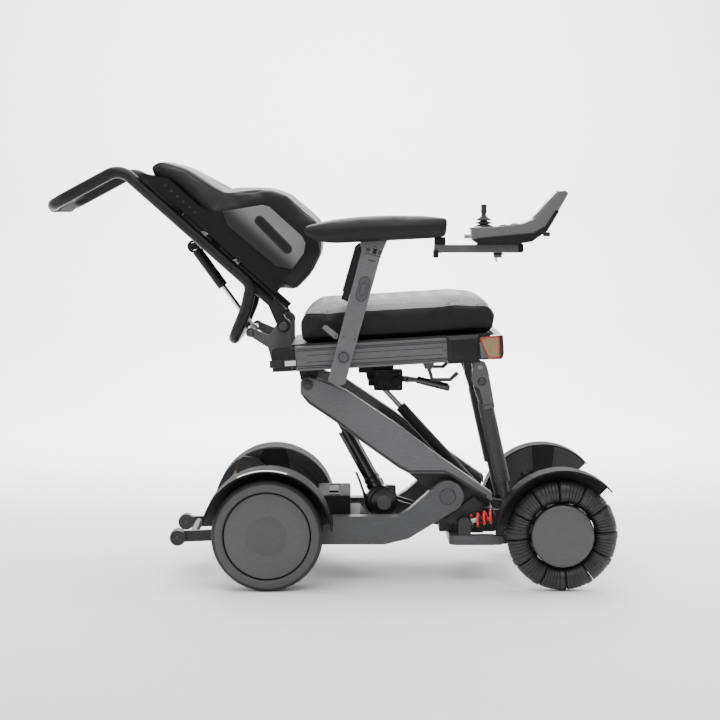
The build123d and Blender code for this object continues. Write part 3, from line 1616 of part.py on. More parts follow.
def arm_pad():
    """Padded armrest top over a flat carrier."""
    rear = PAD_REAR_X
    front = rear + PAD_LENGTH
    with BuildPart() as pad:
        with BuildSketch(side_plane(PAD_INNER_Y)):
            with BuildLine():
                Polyline(
                    (rear, PAD_LOW_Z + 23),
                    (rear + 22, PAD_LOW_Z + 6),
                    (rear + 54, PAD_LOW_Z),
                    (front - 4, pad_floor(front - 4)),
                    (front, PAD_LOW_Z + 56),
                    (front - 8, PAD_LOW_Z + 60),
                    (148, PAD_LOW_Z + 62),
                    (70, PAD_LOW_Z + 59),
                    (-10, PAD_LOW_Z + 50),
                    (rear, PAD_LOW_Z + 40),
                    close=True,
                )
            make_face()
        extrude(amount=PAD_OUTER_Y - PAD_INNER_Y)
        fillet(pad.faces().sort_by(Axis.Y)[0].edges(), 5)
        fillet(pad.faces().sort_by(Axis.Y)[-1].edges(), 5)
    return pad


def armrest_post():
    """Leaning flat post of an armrest, from below its pivot up to the pad's floor."""
    foot = POST_PLANE.from_local_coords(Vector(-70, 0, 0))
    neck = POST_PLANE.from_local_coords(Vector(252, 0, 0))
    with BuildPart() as post:
        with BuildSketch(side_plane(ARMREST_INNER_Y)):
            with BuildLine():
                Polyline(
                    (foot.X - 19, foot.Z + 12),
                    (foot.X + 5, foot.Z - 2),
                    (foot.X + 22, foot.Z + 4),
                    (neck.X + 22, neck.Z - 5),
                    (neck.X + 38, pad_floor(neck.X + 38)),
                    (neck.X - 26, pad_floor(neck.X - 26)),
                    (neck.X - 24, neck.Z + 7),
                    close=True,
                )
            make_face()
            with Locations((ARM_PIVOT_X, ARM_PIVOT_Z)):
                Circle(ARM_PIN_RADIUS + SHAFT_GAP, mode=Mode.SUBTRACT)
        extrude(amount=ARMREST_OUTER_Y - ARMREST_INNER_Y)
        outer = post.faces().sort_by(Axis.Y)[0]
        chamfer(outer.outer_wire().edges(), 1.5)
    return post


SWING_PIVOT_X = 256.0
SWING_Y = 250.0
SWING_LOW_Z = 800.0
SWING_HIGH_Z = 818.0
SWING_PIN_RADIUS = 5.0


def joystick_arm():
    """Flat bar under the armrest that carries the controller and swings about an upright pin."""
    with BuildPart() as bar:
        with BuildSketch(Plane.XY.offset(SWING_LOW_Z)):
            with Locations((346, -SWING_Y)):
                SlotOverall(208, 28)
            with Locations((SWING_PIVOT_X, -SWING_Y)):
                Circle(SWING_PIN_RADIUS + SHAFT_GAP, mode=Mode.SUBTRACT)
        extrude(amount=SWING_HIGH_Z - SWING_LOW_Z)
        with BuildSketch(Plane.XY.offset(SWING_LOW_Z - 12)):
            with Locations((392, -SWING_Y)):
                Circle(10)
        extrude(amount=12)
        with BuildSketch(Plane.XY.offset(SWING_HIGH_Z)):
            with Locations((392, -SWING_Y)):
                Rectangle(100, 22)
        extrude(amount=2.5)
    return bar


def swing_pivot():
    """Upright pin and block under the right armrest that the joystick arm turns on."""
    with BuildPart() as pivot:
        with BuildSketch(Plane.XY.offset(SWING_LOW_Z - 1)):
            with Locations((SWING_PIVOT_X, -SWING_Y)):
                Circle(SWING_PIN_RADIUS)
        extrude(amount=SWING_HIGH_Z + PLAY - SWING_LOW_Z + 1)
        with BuildSketch(side_plane(SWING_Y - 12)):
            with BuildLine():
                Polyline(
                    (SWING_PIVOT_X - 13, SWING_HIGH_Z + PLAY),
                    (SWING_PIVOT_X + 13, SWING_HIGH_Z + PLAY),
                    (SWING_PIVOT_X + 13, pad_floor(SWING_PIVOT_X + 13)),
                    (SWING_PIVOT_X - 13, pad_floor(SWING_PIVOT_X - 13)),
                    close=True,
                )
            make_face()
        extrude(amount=24)
    return pivot


CASE_HALF_WIDTH = 32.0
CASE_WELL_RADIUS = 15.0
STICK_BALL_RADIUS = 5.2


def controller_case():
    """Joystick controller with a flat deck and a raised display at the front."""
    with BuildPart() as case:
        with BuildSketch(side_plane(SWING_Y - CASE_HALF_WIDTH)):
            with BuildLine():
                Polyline(
                    (327, 859),
                    (385, 861),
                    (448, 868),
                    (471, 877),
                    (532, 943),
                    (548, 945),
                    (554, 938),
                    (531, 897),
                    (504, 852),
                    (469, 827),
                    (435, SWING_HIGH_Z + 2.5),
                    (345, SWING_HIGH_Z + 2.5),
                    (330, 834),
                    close=True,
                )
            make_face()
        extrude(amount=2 * CASE_HALF_WIDTH)
        fillet(case.faces().filter_by(Axis.Y).edges(), 3)
        with BuildSketch(Plane.XY.offset(840)):
            with Locations((STICK_X, -SWING_Y)):
                Circle(CASE_WELL_RADIUS)
        extrude(amount=40, mode=Mode.SUBTRACT)
    return case


STICK_X = 359.0
STICK_Z = 852.0


def stick_gimbal():
    """Hidden ring that lets the stick lean fore and aft."""
    with BuildPart() as ring:
        with BuildSketch(Plane.XY.offset(STICK_Z - 4)):
            with Locations((STICK_X, -SWING_Y)):
                Circle(CASE_WELL_RADIUS - 0.8)
                Circle(STICK_BALL_RADIUS + 0.8, mode=Mode.SUBTRACT)
        extrude(amount=8)
    return ring


def joystick_stick():
    """Joystick stem with its round knob."""
    with BuildPart() as stick:
        with BuildSketch(Plane.XY.offset(STICK_Z - 5)):
            with Locations((STICK_X, -SWING_Y)):
                Circle(4)
        extrude(amount=46)
        with Locations((STICK_X, -SWING_Y, STICK_Z)):
            Sphere(STICK_BALL_RADIUS)
        with BuildSketch(Plane.XY.offset(892)):
            with Locations((STICK_X, -SWING_Y)):
                Circle(9)
        extrude(amount=20)
        fillet(stick.faces().sort_by(Axis.Z)[-1].edges(), 4)
        with BuildSketch(Plane.XY.offset(876)):
            with Locations((STICK_X, -SWING_Y)):
                Circle(11)
        extrude(amount=10, taper=20)
    return stick


def main():
    """Build every piece and write its STEP file."""
    pairs = {
        "rear_tyre": rear_tyre,
        "rear_rim": rear_rim,
        "front_hub": front_hub,
        "front_rollers": front_rollers,
        "swing_arm": swing_arm,
        "front_fender": front_fender,
        "shock_spring": shock_spring,
        "anti_tip_wheel": anti_tip_wheel,
        "armrest_post": armrest_post,
        "arm_pad": arm_pad,
    }
    singles = {
        "rear_axles": rear_axle,
        "rear_fenders": rear_fender,
        "rear_beams": rear_beam,
        "anti_tip_frame": anti_tip_arms,
        "battery_pack": battery_pack,
        "front_chassis": front_chassis,
        "front_subframe": front_subframe,
        "spring_brackets": spring_brackets,
        "chassis_pins": chassis_pins,
        "lift_arms": lift_arm,
        "arm_gussets": arm_gussets,
        "arm_cross_tube": arm_cross_tube,
        "lift_actuator_body": lift_actuator_body,
        "lift_actuator_rod": lift_actuator_rod,
        "tilt_actuator_tube": tilt_actuator_tube,
        "tilt_actuator_rod": tilt_actuator_rod,
        "recline_tube": recline_tube,
        "recline_rod": recline_rod,
        "strut_uppers": strut_uppers,
        "strut_lowers": strut_lowers,
        "seat_rails": seat_rails,
        "seat_pan": seat_pan,
        "seat_pins": seat_pins,
        "seat_brackets": seat_brackets,
        "rail_trims": rail_trims,
        "side_lamps": side_lamps,
        "seat_cushion": seat_cushion,
        "control_box": control_box,
        "release_lever": release_lever,
        "latch_handle": latch_handle,
        "back_frame": back_frame,
        "push_handle": push_handle,
        "back_shell": back_shell,
        "back_side_trims": back_side_trims,
        "back_cushion": back_cushion,
        "joystick_arm": joystick_arm,
        "swing_pivot": swing_pivot,
        "controller_case": controller_case,
        "stick_gimbal": stick_gimbal,
        "joystick_stick": joystick_stick,
    }
    for name, maker in pairs.items():
        save_pair(maker(), name)
    for name, maker in singles.items():
        save(maker(), name)


if __name__ == "__main__":
    main()
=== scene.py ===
"""Detailed visual model of the power wheelchair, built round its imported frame."""

import logging
import math
from dataclasses import dataclass
from enum import Enum
from typing import Callable, Sequence, Union

import bmesh
import bpy
from mathutils import Matrix, Vector


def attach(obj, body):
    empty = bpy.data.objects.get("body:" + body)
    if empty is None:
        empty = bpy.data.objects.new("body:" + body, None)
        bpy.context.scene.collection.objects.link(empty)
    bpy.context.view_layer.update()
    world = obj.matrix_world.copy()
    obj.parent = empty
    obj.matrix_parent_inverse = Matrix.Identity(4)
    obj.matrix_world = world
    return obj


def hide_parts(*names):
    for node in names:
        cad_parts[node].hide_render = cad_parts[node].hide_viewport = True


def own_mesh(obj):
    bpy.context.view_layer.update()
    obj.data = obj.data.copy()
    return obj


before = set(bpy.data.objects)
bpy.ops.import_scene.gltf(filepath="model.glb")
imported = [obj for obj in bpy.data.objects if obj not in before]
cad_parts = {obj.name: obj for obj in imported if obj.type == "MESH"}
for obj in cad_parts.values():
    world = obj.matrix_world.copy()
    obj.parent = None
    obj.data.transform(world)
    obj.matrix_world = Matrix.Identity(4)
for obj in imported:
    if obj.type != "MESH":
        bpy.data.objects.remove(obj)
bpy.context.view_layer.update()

log = logging.getLogger("wheelchair")

MM = 0.001
Point = Sequence[float]
Outline = Sequence[tuple[float, float]]
Colour = tuple[float, float, float]


# ---------------------------------------------------------------- shader graphs
class Socket:
    """One output of a shader graph. Arithmetic on it adds Math nodes."""

    def __init__(self, graph: "Graph", link: bpy.types.NodeSocket) -> None:
        """Keeps the graph and the output it stands for."""
        self.graph = graph
        self.link = link

    def _math(self, operation: str, first: "Value", second: "Value") -> "Socket":
        """A Math node on two values."""
        return self.graph.node("ShaderNodeMath", {"operation": operation}, {0: first, 1: second})

    def __add__(self, other: "Value") -> "Socket":
        """self + other."""
        return self._math("ADD", self, other)

    __radd__ = __add__

    def __sub__(self, other: "Value") -> "Socket":
        """self - other."""
        return self._math("SUBTRACT", self, other)

    def __rsub__(self, other: "Value") -> "Socket":
        """other - self."""
        return self._math("SUBTRACT", other, self)

    def __mul__(self, other: "Value") -> "Socket":
        """self * other."""
        return self._math("MULTIPLY", self, other)

    __rmul__ = __mul__

    def __pow__(self, other: "Value") -> "Socket":
        """self to the power of other."""
        return self._math("POWER", self, other)

    def above(self, other: "Value") -> "Socket":
        """1 where self is greater than other, else 0."""
        return self._math("GREATER_THAN", self, other)


Value = Union[Socket, float, Sequence[float]]


class Graph:
    """A material whose nodes are added by Python expressions."""

    def __init__(self, name: str) -> None:
        """Starts a material with one Principled shader."""
        self.material = bpy.data.materials.new(name)
        self.material.use_nodes = True
        self.tree = self.material.node_tree
        self.tree.nodes.clear()
        self.shader = self.tree.nodes.new("ShaderNodeBsdfPrincipled")
        out = self.tree.nodes.new("ShaderNodeOutputMaterial")
        self.tree.links.new(self.shader.outputs[0], out.inputs[0])

    def node(self, kind: str, settings: dict = {}, inputs: dict = {}, output: int = 0) -> Socket:
        """Adds one node.

        Args:
            kind: the node's type name.
            settings: its properties.
            inputs: values or links, by socket name or number.
            output: which output to return.

        Returns:
            The chosen output.
        """
        node = self.tree.nodes.new(kind)
        for key, value in settings.items():
            setattr(node, key, value)
        for key, value in inputs.items():
            self.plug(node.inputs[key], value)
        return Socket(self, node.outputs[output])

    def plug(self, target: bpy.types.NodeSocket, value: Value) -> None:
        """Sets or links one input."""
        if isinstance(value, Socket):
            self.tree.links.new(value.link, target)
        elif isinstance(value, (tuple, list)) and target.type == "RGBA":
            target.default_value = (*value[:3], 1.0)
        else:
            target.default_value = value

    def surface(self, **values: Value) -> None:
        """Sets the shader's own sockets, named with _ for a space."""
        for key, value in values.items():
            self.plug(self.shader.inputs[key.replace("_", " ")], value)

    def place(self, stretch: Point = (1.0, 1.0, 1.0), turn: Point = (0.0, 0.0, 0.0)) -> Socket:
        """Object coordinates, turned and stretched."""
        here = self.node("ShaderNodeTexCoord", output=3)
        return self.node("ShaderNodeMapping", {}, {0: here, 2: tuple(turn), 3: tuple(stretch)})

    def noise(self, where: Socket, size_mm: float, detail: float = 2.0) -> Socket:
        """Noise whose blobs are about size_mm wide."""
        return self.node("ShaderNodeTexNoise", {},
                         {"Vector": where, "Scale": 1000 / size_mm, "Detail": detail})

    def cells(self, where: Socket, size_mm: float, spread: float = 1.0) -> Socket:
        """Distance to the nearest cell centre, cells about size_mm wide."""
        return self.node("ShaderNodeTexVoronoi", {},
                         {"Vector": where, "Scale": 1000 / size_mm, "Randomness": spread})

    def tint(self, colour: Colour, tone: Socket) -> Socket:
        """A colour scaled by a varying tone."""
        return self.node("ShaderNodeVectorMath", {"operation": "SCALE"},
                         {0: tuple(colour), "Scale": tone})

    def mix(self, mask: Value, low: Value, high: Value) -> Socket:
        """Blends two colours by a mask."""
        return self.node("ShaderNodeMix", {"data_type": "RGBA"}, {0: mask, 6: low, 7: high}, 2)

    def bump(self, height: Socket, depth_mm: float, strength: float = 1.0) -> Socket:
        """A normal that follows a height of depth_mm."""
        return self.node("ShaderNodeBump", {},
                         {"Strength": strength, "Distance": depth_mm * MM, "Height": height})

    def masked(self, name: str, level: float = 0.5) -> Socket:
        """1 where a mesh attribute is above a level."""
        return self.node("ShaderNodeAttribute", {"attribute_name": name}, {}, 2).above(level)


@dataclass(frozen=True)
class Finish:
    """A surface finish; each kind paints itself."""

    name: str
    colour: Colour
    roughness: float

    def material(self) -> bpy.types.Material:
        """The finish's material, made once."""
        found = bpy.data.materials.get(self.name)
        if found is not None:
            return found
        graph = Graph(self.name)
        self.paint(graph)
        return graph.material

    def paint(self, graph: Graph) -> None:
        """Fills the graph; each kind has its own."""
        raise NotImplementedError


@dataclass(frozen=True)
class Moulded(Finish):
    """Moulded plastic or painted metal with a fine grain."""

    grain_mm: float = 0.7
    depth_mm: float = 0.06
    metallic: float = 0.0
    coat: float = 0.0
    drift: float = 0.16
    shine: float = 0.5

    def paint(self, graph: Graph) -> None:
        """Fine grain, slow change of tone, and faint rub marks."""
        here = graph.place()
        grain = graph.noise(here, self.grain_mm, 3.0)
        cloud = graph.noise(here, 70.0, 4.0)
        rubs = graph.noise(graph.place((0.25, 1.0, 1.6), (0.2, 0.4, 0.1)), 4.0, 5.0)
        tone = (1 - self.drift) + 2 * self.drift * cloud + 0.10 * (grain - 0.5)
        worn = (rubs ** 6.0) * 6.0
        rough = self.roughness + 0.16 * (cloud - 0.5) + 0.10 * (grain - 0.5) - 0.05 * worn
        graph.surface(
            Base_Color=graph.tint(self.colour, tone + 0.3 * worn),
            Roughness=rough, Metallic=self.metallic, Coat_Weight=self.coat,
            Coat_Roughness=0.12, Specular_IOR_Level=self.shine,
            Normal=graph.bump(grain, self.depth_mm),
        )


@dataclass(frozen=True)
class Brushed(Finish):
    """Metal with fine lines along one direction."""

    lines: Point = (0.03, 1.0, 1.0)
    metallic: float = 1.0
    depth_mm: float = 0.012

    def paint(self, graph: Graph) -> None:
        """Long thin streaks over a slow stain."""
        streaks = graph.noise(graph.place(self.lines), 0.8, 4.0)
        stain = graph.noise(graph.place(), 40.0, 3.0)
        graph.surface(
            Base_Color=graph.tint(self.colour, 0.82 + 0.2 * streaks + 0.16 * stain),
            Roughness=self.roughness + 0.16 * (streaks - 0.5) + 0.08 * (stain - 0.5),
            Metallic=self.metallic, Normal=graph.bump(streaks, self.depth_mm),
        )


@dataclass(frozen=True)
class Rubber(Finish):
    """Rubber with a matt bloom and fine specks of dust."""

    dust: float = 0.12

    def paint(self, graph: Graph) -> None:
        """Bloom in clouds, specks in the pores."""
        here = graph.place()
        grain = graph.noise(here, 0.9, 4.0)
        cloud = graph.noise(here, 28.0, 5.0)
        specks = graph.noise(here, 2.2, 2.0).above(0.66)
        veil = (cloud ** 2.0) * self.dust + specks * (self.dust * 0.5)
        graph.surface(
            Base_Color=graph.mix(veil, self.colour, (0.24, 0.235, 0.225)),
            Roughness=self.roughness + 0.2 * (cloud - 0.5),
            Normal=graph.bump(grain, 0.12), Specular_IOR_Level=0.35,
        )


@dataclass(frozen=True)
class Upholstery(Finish):
    """Black leatherette with a spacer-mesh panel, painted lighter grey partly as highlight, and a
    stitched line between them.
    """

    # The panel's grey is partly the mesh's own colour and partly painted highlight of the top light on
    # black fabric.
    mesh_highlight_grey: Colour = (0.33, 0.33, 0.335)
    pebble_mm: float = 1.5
    hole_mm: float = 3.0

    def paint(self, graph: Graph) -> None:
        """Pebbled hide, and knitted mesh where the panel is, its grey partly painted highlight."""
        here = graph.place()
        panel = graph.masked("panel")
        pebble = graph.cells(here, self.pebble_mm, 0.9)
        crease = graph.noise(graph.place((1.0, 0.35, 1.0)), 24.0, 5.0)
        holes = graph.cells(here, self.hole_mm, 0.12)
        knit = graph.noise(here, 0.6, 2.0)
        hide = graph.tint(self.colour, 0.75 + 0.5 * crease + 0.12 * pebble)
        # Painted highlight: the panel's grey and the paler knit mixed over it stand partly for the top
        # light on black fabric.
        open_mesh = graph.mix(holes.above(0.36), (0.03, 0.03, 0.032), self.mesh_highlight_grey)
        cloth = graph.mix(knit * 0.4, open_mesh, (0.50, 0.50, 0.505))
        height = (1 - panel) * (pebble * 0.5 + crease * 0.9) + panel * ((1 - holes) * 0.9 + knit * 0.2)
        graph.surface(
            Base_Color=graph.mix(panel, hide, cloth),
            Roughness=self.roughness + panel * 0.42 + 0.14 * (crease - 0.5),
            Normal=graph.bump(height, 0.45, 0.7), Specular_IOR_Level=0.22,
        )


@dataclass(frozen=True)
class Lens(Finish):
    """Tinted moulded lens with fine ribs."""

    rib_mm: float = 3.0

    def paint(self, graph: Graph) -> None:
        """Ribs across a glossy tinted body with a cloudy depth."""
        ribs = graph.node("ShaderNodeTexWave", {"wave_profile": "SIN", "bands_direction": "X"},
                          {"Vector": graph.place(), "Scale": 300 / self.rib_mm})
        cloud = graph.noise(graph.place(), 9.0, 3.0)
        graph.surface(
            Base_Color=graph.tint(self.colour, 0.75 + 0.25 * ribs + 0.3 * cloud),
            Roughness=self.roughness + 0.05 * cloud, Coat_Weight=0.8, Coat_Roughness=0.04,
            Normal=graph.bump(ribs, 0.25, 0.6), Transmission_Weight=0.25, IOR=1.49,
        )


BLACK = Moulded("black_moulding", (0.011, 0.011, 0.012), 0.58, shine=0.12)
FENDER = Moulded("fender_moulding", (0.014, 0.014, 0.015), 0.62, shine=0.05)
WALL = Moulded("fender_wall_moulding", (0.042, 0.042, 0.044), 0.6, shine=0.05)
SHELL = Moulded("back_shell_moulding", (0.010, 0.010, 0.011), 0.6, shine=0.08)
SATIN_BLACK = Moulded("satin_black_moulding", (0.014, 0.014, 0.015), 0.36, grain_mm=0.5,
                      depth_mm=0.03, shine=0.16)
GLOSS_BLACK = Moulded("gloss_black_housing", (0.010, 0.010, 0.011), 0.24, depth_mm=0.012, coat=0.3,
                      shine=0.4)
FRAME_GREY = Moulded("frame_grey_coat", (0.072, 0.0725, 0.075), 0.44, grain_mm=1.1, depth_mm=0.03,
                     metallic=0.2, drift=0.06, shine=0.25)
ARM_GREY = Moulded("arm_grey_coat", (0.108, 0.1085, 0.112), 0.44, grain_mm=1.1, depth_mm=0.03,
                   metallic=0.2, drift=0.05, shine=0.25)
DARK_COAT = Moulded("dark_frame_coat", (0.036, 0.036, 0.038), 0.46, grain_mm=1.0, depth_mm=0.03,
                    metallic=0.2, drift=0.08, shine=0.2)
# Painted shade: the dark band on each lift arm's downward-facing lower chamfer.
ARM_EDGE_SHADE = Moulded("arm_edge_painted_shade", (0.022, 0.022, 0.024), 0.42, metallic=0.3, depth_mm=0.03)
COVER_GREY = Moulded("wheel_cover_satin", (0.056, 0.056, 0.058), 0.46, grain_mm=0.6, depth_mm=0.025,
                     drift=0.06)
DISH_GREY = Moulded("wheel_dish_dark", (0.050, 0.050, 0.052), 0.50, depth_mm=0.03)
TRIM_GREY = Moulded("back_trim_grey", (0.115, 0.116, 0.120), 0.44, grain_mm=0.6, depth_mm=0.03,
                    drift=0.06)
# Painted shade: near-black sheets in grooves, slots, holes and the gaps round caps and screw heads.
RECESS_SHADE = Moulded("recess_painted_shade", (0.010, 0.010, 0.011), 0.8)
RAIL = Moulded("rail_anodised", (0.100, 0.100, 0.103), 0.42, grain_mm=0.8, depth_mm=0.02,
               metallic=0.25,
               drift=0.05, shine=0.25)
STEEL = Brushed("zinc_steel", (0.36, 0.36, 0.37), 0.34, lines=(1.0, 0.2, 1.0))
DARK_STEEL = Brushed("blackened_steel", (0.075, 0.075, 0.078), 0.38, lines=(1.0, 0.3, 1.0))
CHROME = Brushed("polished_rod", (0.74, 0.74, 0.76), 0.10, lines=(1.0, 0.05, 1.0), depth_mm=0.004)
TREAD = Rubber("tread_rubber", (0.013, 0.013, 0.014), 0.66)
# Sidewall rubber, painted lighter than the tread as the highlight its rounded rim catches.
SIDEWALL_HIGHLIGHT = Rubber("sidewall_painted_highlight", (0.056, 0.056, 0.058), 0.55, dust=0.1)
ROLLER_RUBBER = Rubber("roller_rubber", (0.018, 0.018, 0.019), 0.42, dust=0.05)
CABLE_RUBBER = Rubber("cable_sheath", (0.03, 0.03, 0.032), 0.5)
FOAM = Rubber("grip_foam", (0.022, 0.022, 0.024), 0.78, dust=0.06)
SPRING_RED = Moulded("spring_red_coat", (0.62, 0.030, 0.018), 0.30, depth_mm=0.02, coat=0.5)
AMBER = Lens("amber_lens", (0.30, 0.205, 0.100), 0.22)
RED_LENS = Lens("red_lens", (0.45, 0.05, 0.02), 0.15, rib_mm=2.0)
# Also paints the white strip of painted highlight on the rear fenders' top edges.
REFLECTOR_AND_HIGHLIGHT = Lens("white_reflector_and_highlight", (0.72, 0.72, 0.70), 0.12, rib_mm=1.6)
GLASS = Moulded("display_glass", (0.012, 0.013, 0.016), 0.08, depth_mm=0.002, coat=1.0)
MARK_WHITE = Moulded("pale_mark", (0.55, 0.56, 0.57), 0.4)
HIDE = Upholstery("upholstery", (0.008, 0.008, 0.009), 0.50)
CASE_GREY = Moulded("case_grey_moulding", (0.085, 0.085, 0.088), 0.42, grain_mm=0.5, depth_mm=0.03,
                    drift=0.06)


# ---------------------------------------------------------------- shaping
def aim(origin: Point, axis: Point) -> Matrix:
    """The matrix that takes +Z to axis and the origin to a point."""
    turn = Vector(axis).to_track_quat("Z", "Y").to_matrix().to_4x4()
    return Matrix.Translation(Vector(origin)) @ turn


def round_edges(part: bmesh.types.BMesh, width: float, segments: int = 2,
                angle: float = 30.0) -> None:
    """Bevels every edge sharper than angle.

    Args:
        part: the mesh, changed in place.
        width: the bevel's width.
        segments: how many strips each bevel has.
        angle: the least turn, in degrees, that counts as an edge.
    """
    limit = math.radians(angle)
    shortest = min(1.6, width * 1.6)
    edges = [e for e in part.edges if len(e.link_faces) == 2 and e.calc_length() > shortest
             and e.calc_face_angle(0.0) > limit]
    if edges and width > 0:
        bmesh.ops.bevel(part, geom=edges, offset=width, offset_type="OFFSET", segments=segments,
                        profile=0.5, affect="EDGES", clamp_overlap=True, material=-1)


def back_frame_matrix() -> Matrix:
    """Takes (s up the back, Y, h in front of its hinge line) to the chair's frame."""
    turn = math.radians(138.4)
    c, s = math.cos(turn), math.sin(turn)
    return Matrix(((c, 0, s, -113.0), (0, 1, 0, 0), (s, 0, -c, 622.5), (0, 0, 0, 1)))


def seat_frame_matrix() -> Matrix:
    """Takes (s along the rail, Y, h above its line) to the chair's frame."""
    turn = math.radians(3.4)
    c, s = math.cos(turn), math.sin(turn)
    return Matrix(((c, 0, -s, 0), (0, 1, 0, 0), (s, 0, c, 552.0), (0, 0, 0, 1)))


BACK = back_frame_matrix()
SEAT = seat_frame_matrix()


class Side(Enum):
    """A side of the chair, by the sign of its Y."""

    RIGHT = -1
    LEFT = 1


SIDES = {side.name.lower(): side.value for side in Side}


class Mould:
    """A piece being shaped, in millimetres in the chair's frame."""

    def __init__(self) -> None:
        """Starts with nothing in the mould."""
        self.bm = bmesh.new()

    def absorb(self, part: bmesh.types.BMesh, slot: int, place: Matrix | None = None) -> "Mould":
        """Adds a shaped part.

        Args:
            part: the mesh, freed afterwards.
            slot: the number of the piece's finish for all of it.
            place: where to put it.

        Returns:
            The mould, for the next call.
        """
        if place is not None:
            part.transform(place)
        bmesh.ops.recalc_face_normals(part, faces=part.faces)
        for face in part.faces:
            face.material_index = slot
        mesh = bpy.data.meshes.new("part")
        part.to_mesh(mesh)
        part.free()
        self.bm.from_mesh(mesh)
        bpy.data.meshes.remove(mesh)
        return self

    def slab(self, outline: Outline, low: float, high: float, bevel: float = 0.0, slot: int = 0,
             place: Matrix | None = None, segments: int = 2) -> "Mould":
        """A flat outline in X and Z, made solid from Y low to Y high, with rounded edges."""
        part = bmesh.new()
        ring = [part.verts.new((x, low, z)) for x, z in outline]
        face = part.faces.new(ring)
        grown = bmesh.ops.extrude_face_region(part, geom=[face])["geom"]
        moved = [v for v in grown if isinstance(v, bmesh.types.BMVert)]
        bmesh.ops.translate(part, vec=(0, high - low, 0), verts=moved)
        round_edges(part, bevel, segments)
        return self.absorb(part, slot, place)

    def lathe(self, profile: Outline, origin: Point, axis: Point, slot: int = 0,
              steps: int = 48) -> "Mould":
        """Spins a profile of (radius, height) round an axis; it starts and ends on the axis."""
        part = bmesh.new()
        line = [part.verts.new((r, 0, h)) for r, h in profile]
        edges = [part.edges.new(pair) for pair in zip(line, line[1:])]
        bmesh.ops.spin(part, geom=line + edges, axis=(0, 0, 1), cent=(0, 0, 0),
                       angle=math.tau, steps=steps, use_merge=True)
        bmesh.ops.remove_doubles(part, verts=part.verts, dist=1e-3)
        bmesh.ops.dissolve_degenerate(part, edges=part.edges, dist=1e-4)
        return self.absorb(part, slot, aim(origin, axis))

    def rod(self, start: Point, end: Point, radius: float, slot: int = 0, bevel: float = 0.6,
            steps: int = 28, far_radius: float | None = None) -> "Mould":
        """A round bar from start to end, which may taper."""
        run = Vector(end) - Vector(start)
        part = bmesh.new()
        bmesh.ops.create_cone(part, cap_ends=True, segments=steps, radius1=radius,
                              radius2=radius if far_radius is None else far_radius,
                              depth=run.length)
        round_edges(part, bevel, 2, 40.0)
        return self.absorb(part, slot, aim((Vector(start) + Vector(end)) / 2, run))

    def block(self, centre: Point, size: Point, bevel: float = 1.0, slot: int = 0,
              place: Matrix | None = None, segments: int = 2) -> "Mould":
        """A box with rounded edges."""
        part = bmesh.new()
        bmesh.ops.create_cube(part, size=1.0)
        bmesh.ops.scale(part, vec=tuple(size), verts=part.verts)
        bmesh.ops.translate(part, vec=tuple(centre), verts=part.verts)
        round_edges(part, bevel, segments)
        return self.absorb(part, slot, place)

    def sweep(self, points: Sequence[Point], radius: float, slot: int = 0,
              sides: int = 4) -> "Mould":
        """A round section carried along a smooth line."""
        curve = bpy.data.curves.new("sweep", "CURVE")
        curve.dimensions = "3D"
        curve.bevel_depth, curve.bevel_resolution = radius, sides
        curve.use_fill_caps = True
        curve.resolution_u = 6
        spline = curve.splines.new("NURBS")
        spline.points.add(len(points) - 1)
        for spot, point in zip(spline.points, points):
            spot.co = (*point, 1.0)
        spline.order_u = 3
        spline.use_endpoint_u = True
        holder = bpy.data.objects.new("sweep", curve)
        bpy.context.scene.collection.objects.link(holder)
        bpy.context.view_layer.update()
        mesh = bpy.data.meshes.new_from_object(
            holder.evaluated_get(bpy.context.evaluated_depsgraph_get()))
        bpy.data.objects.remove(holder)
        part = bmesh.new()
        part.from_mesh(mesh)
        bpy.data.meshes.remove(mesh)
        bmesh.ops.remove_doubles(part, verts=part.verts, dist=1e-4)
        return self.absorb(part, slot)

    def bolt(self, centre: Point, axis: Point, radius: float, height: float = 3.0,
             slot: int = 0) -> "Mould":
        """A button-head screw with its socket, seated at centre."""
        r, h = radius, height
        profile = [(0, h * 0.35), (r * 0.45, h * 0.35), (r * 0.5, h), (r * 0.75, h * 0.96),
                   (r * 0.95, h * 0.6), (r, 0), (r, -1.0), (0, -1.0)]
        return self.lathe(profile, centre, axis, slot, 24)

    def node(self, name: str, bevel: float = 1.0, slot: int = 0, segments: int = 2,
             angle: float = 30.0) -> "Mould":
        """A CAD node's own shape, merged, with its sharp edges rounded."""
        part = bmesh.new()
        part.from_mesh(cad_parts[name].data)
        bmesh.ops.scale(part, vec=(1000, 1000, 1000), verts=part.verts)
        bmesh.ops.remove_doubles(part, verts=part.verts, dist=2e-3)
        bmesh.ops.dissolve_limit(part, angle_limit=math.radians(0.5), verts=part.verts,
                                 edges=part.edges)
        round_edges(part, bevel, segments, angle)
        return self.absorb(part, slot)

    def mirrored(self) -> "Mould":
        """Adds the same shape on the other side of the chair."""
        copy = self.bm.copy()
        bmesh.ops.scale(copy, vec=(1, -1, 1), verts=copy.verts)
        bmesh.ops.reverse_faces(copy, faces=copy.faces)
        mesh = bpy.data.meshes.new("part")
        copy.to_mesh(mesh)
        copy.free()
        self.bm.from_mesh(mesh)
        bpy.data.meshes.remove(mesh)
        return self

    def flipped(self) -> "Mould":
        """Moves the shape to the other side of the chair."""
        bmesh.ops.scale(self.bm, vec=(1, -1, 1), verts=self.bm.verts)
        bmesh.ops.reverse_faces(self.bm, faces=self.bm.faces)
        return self

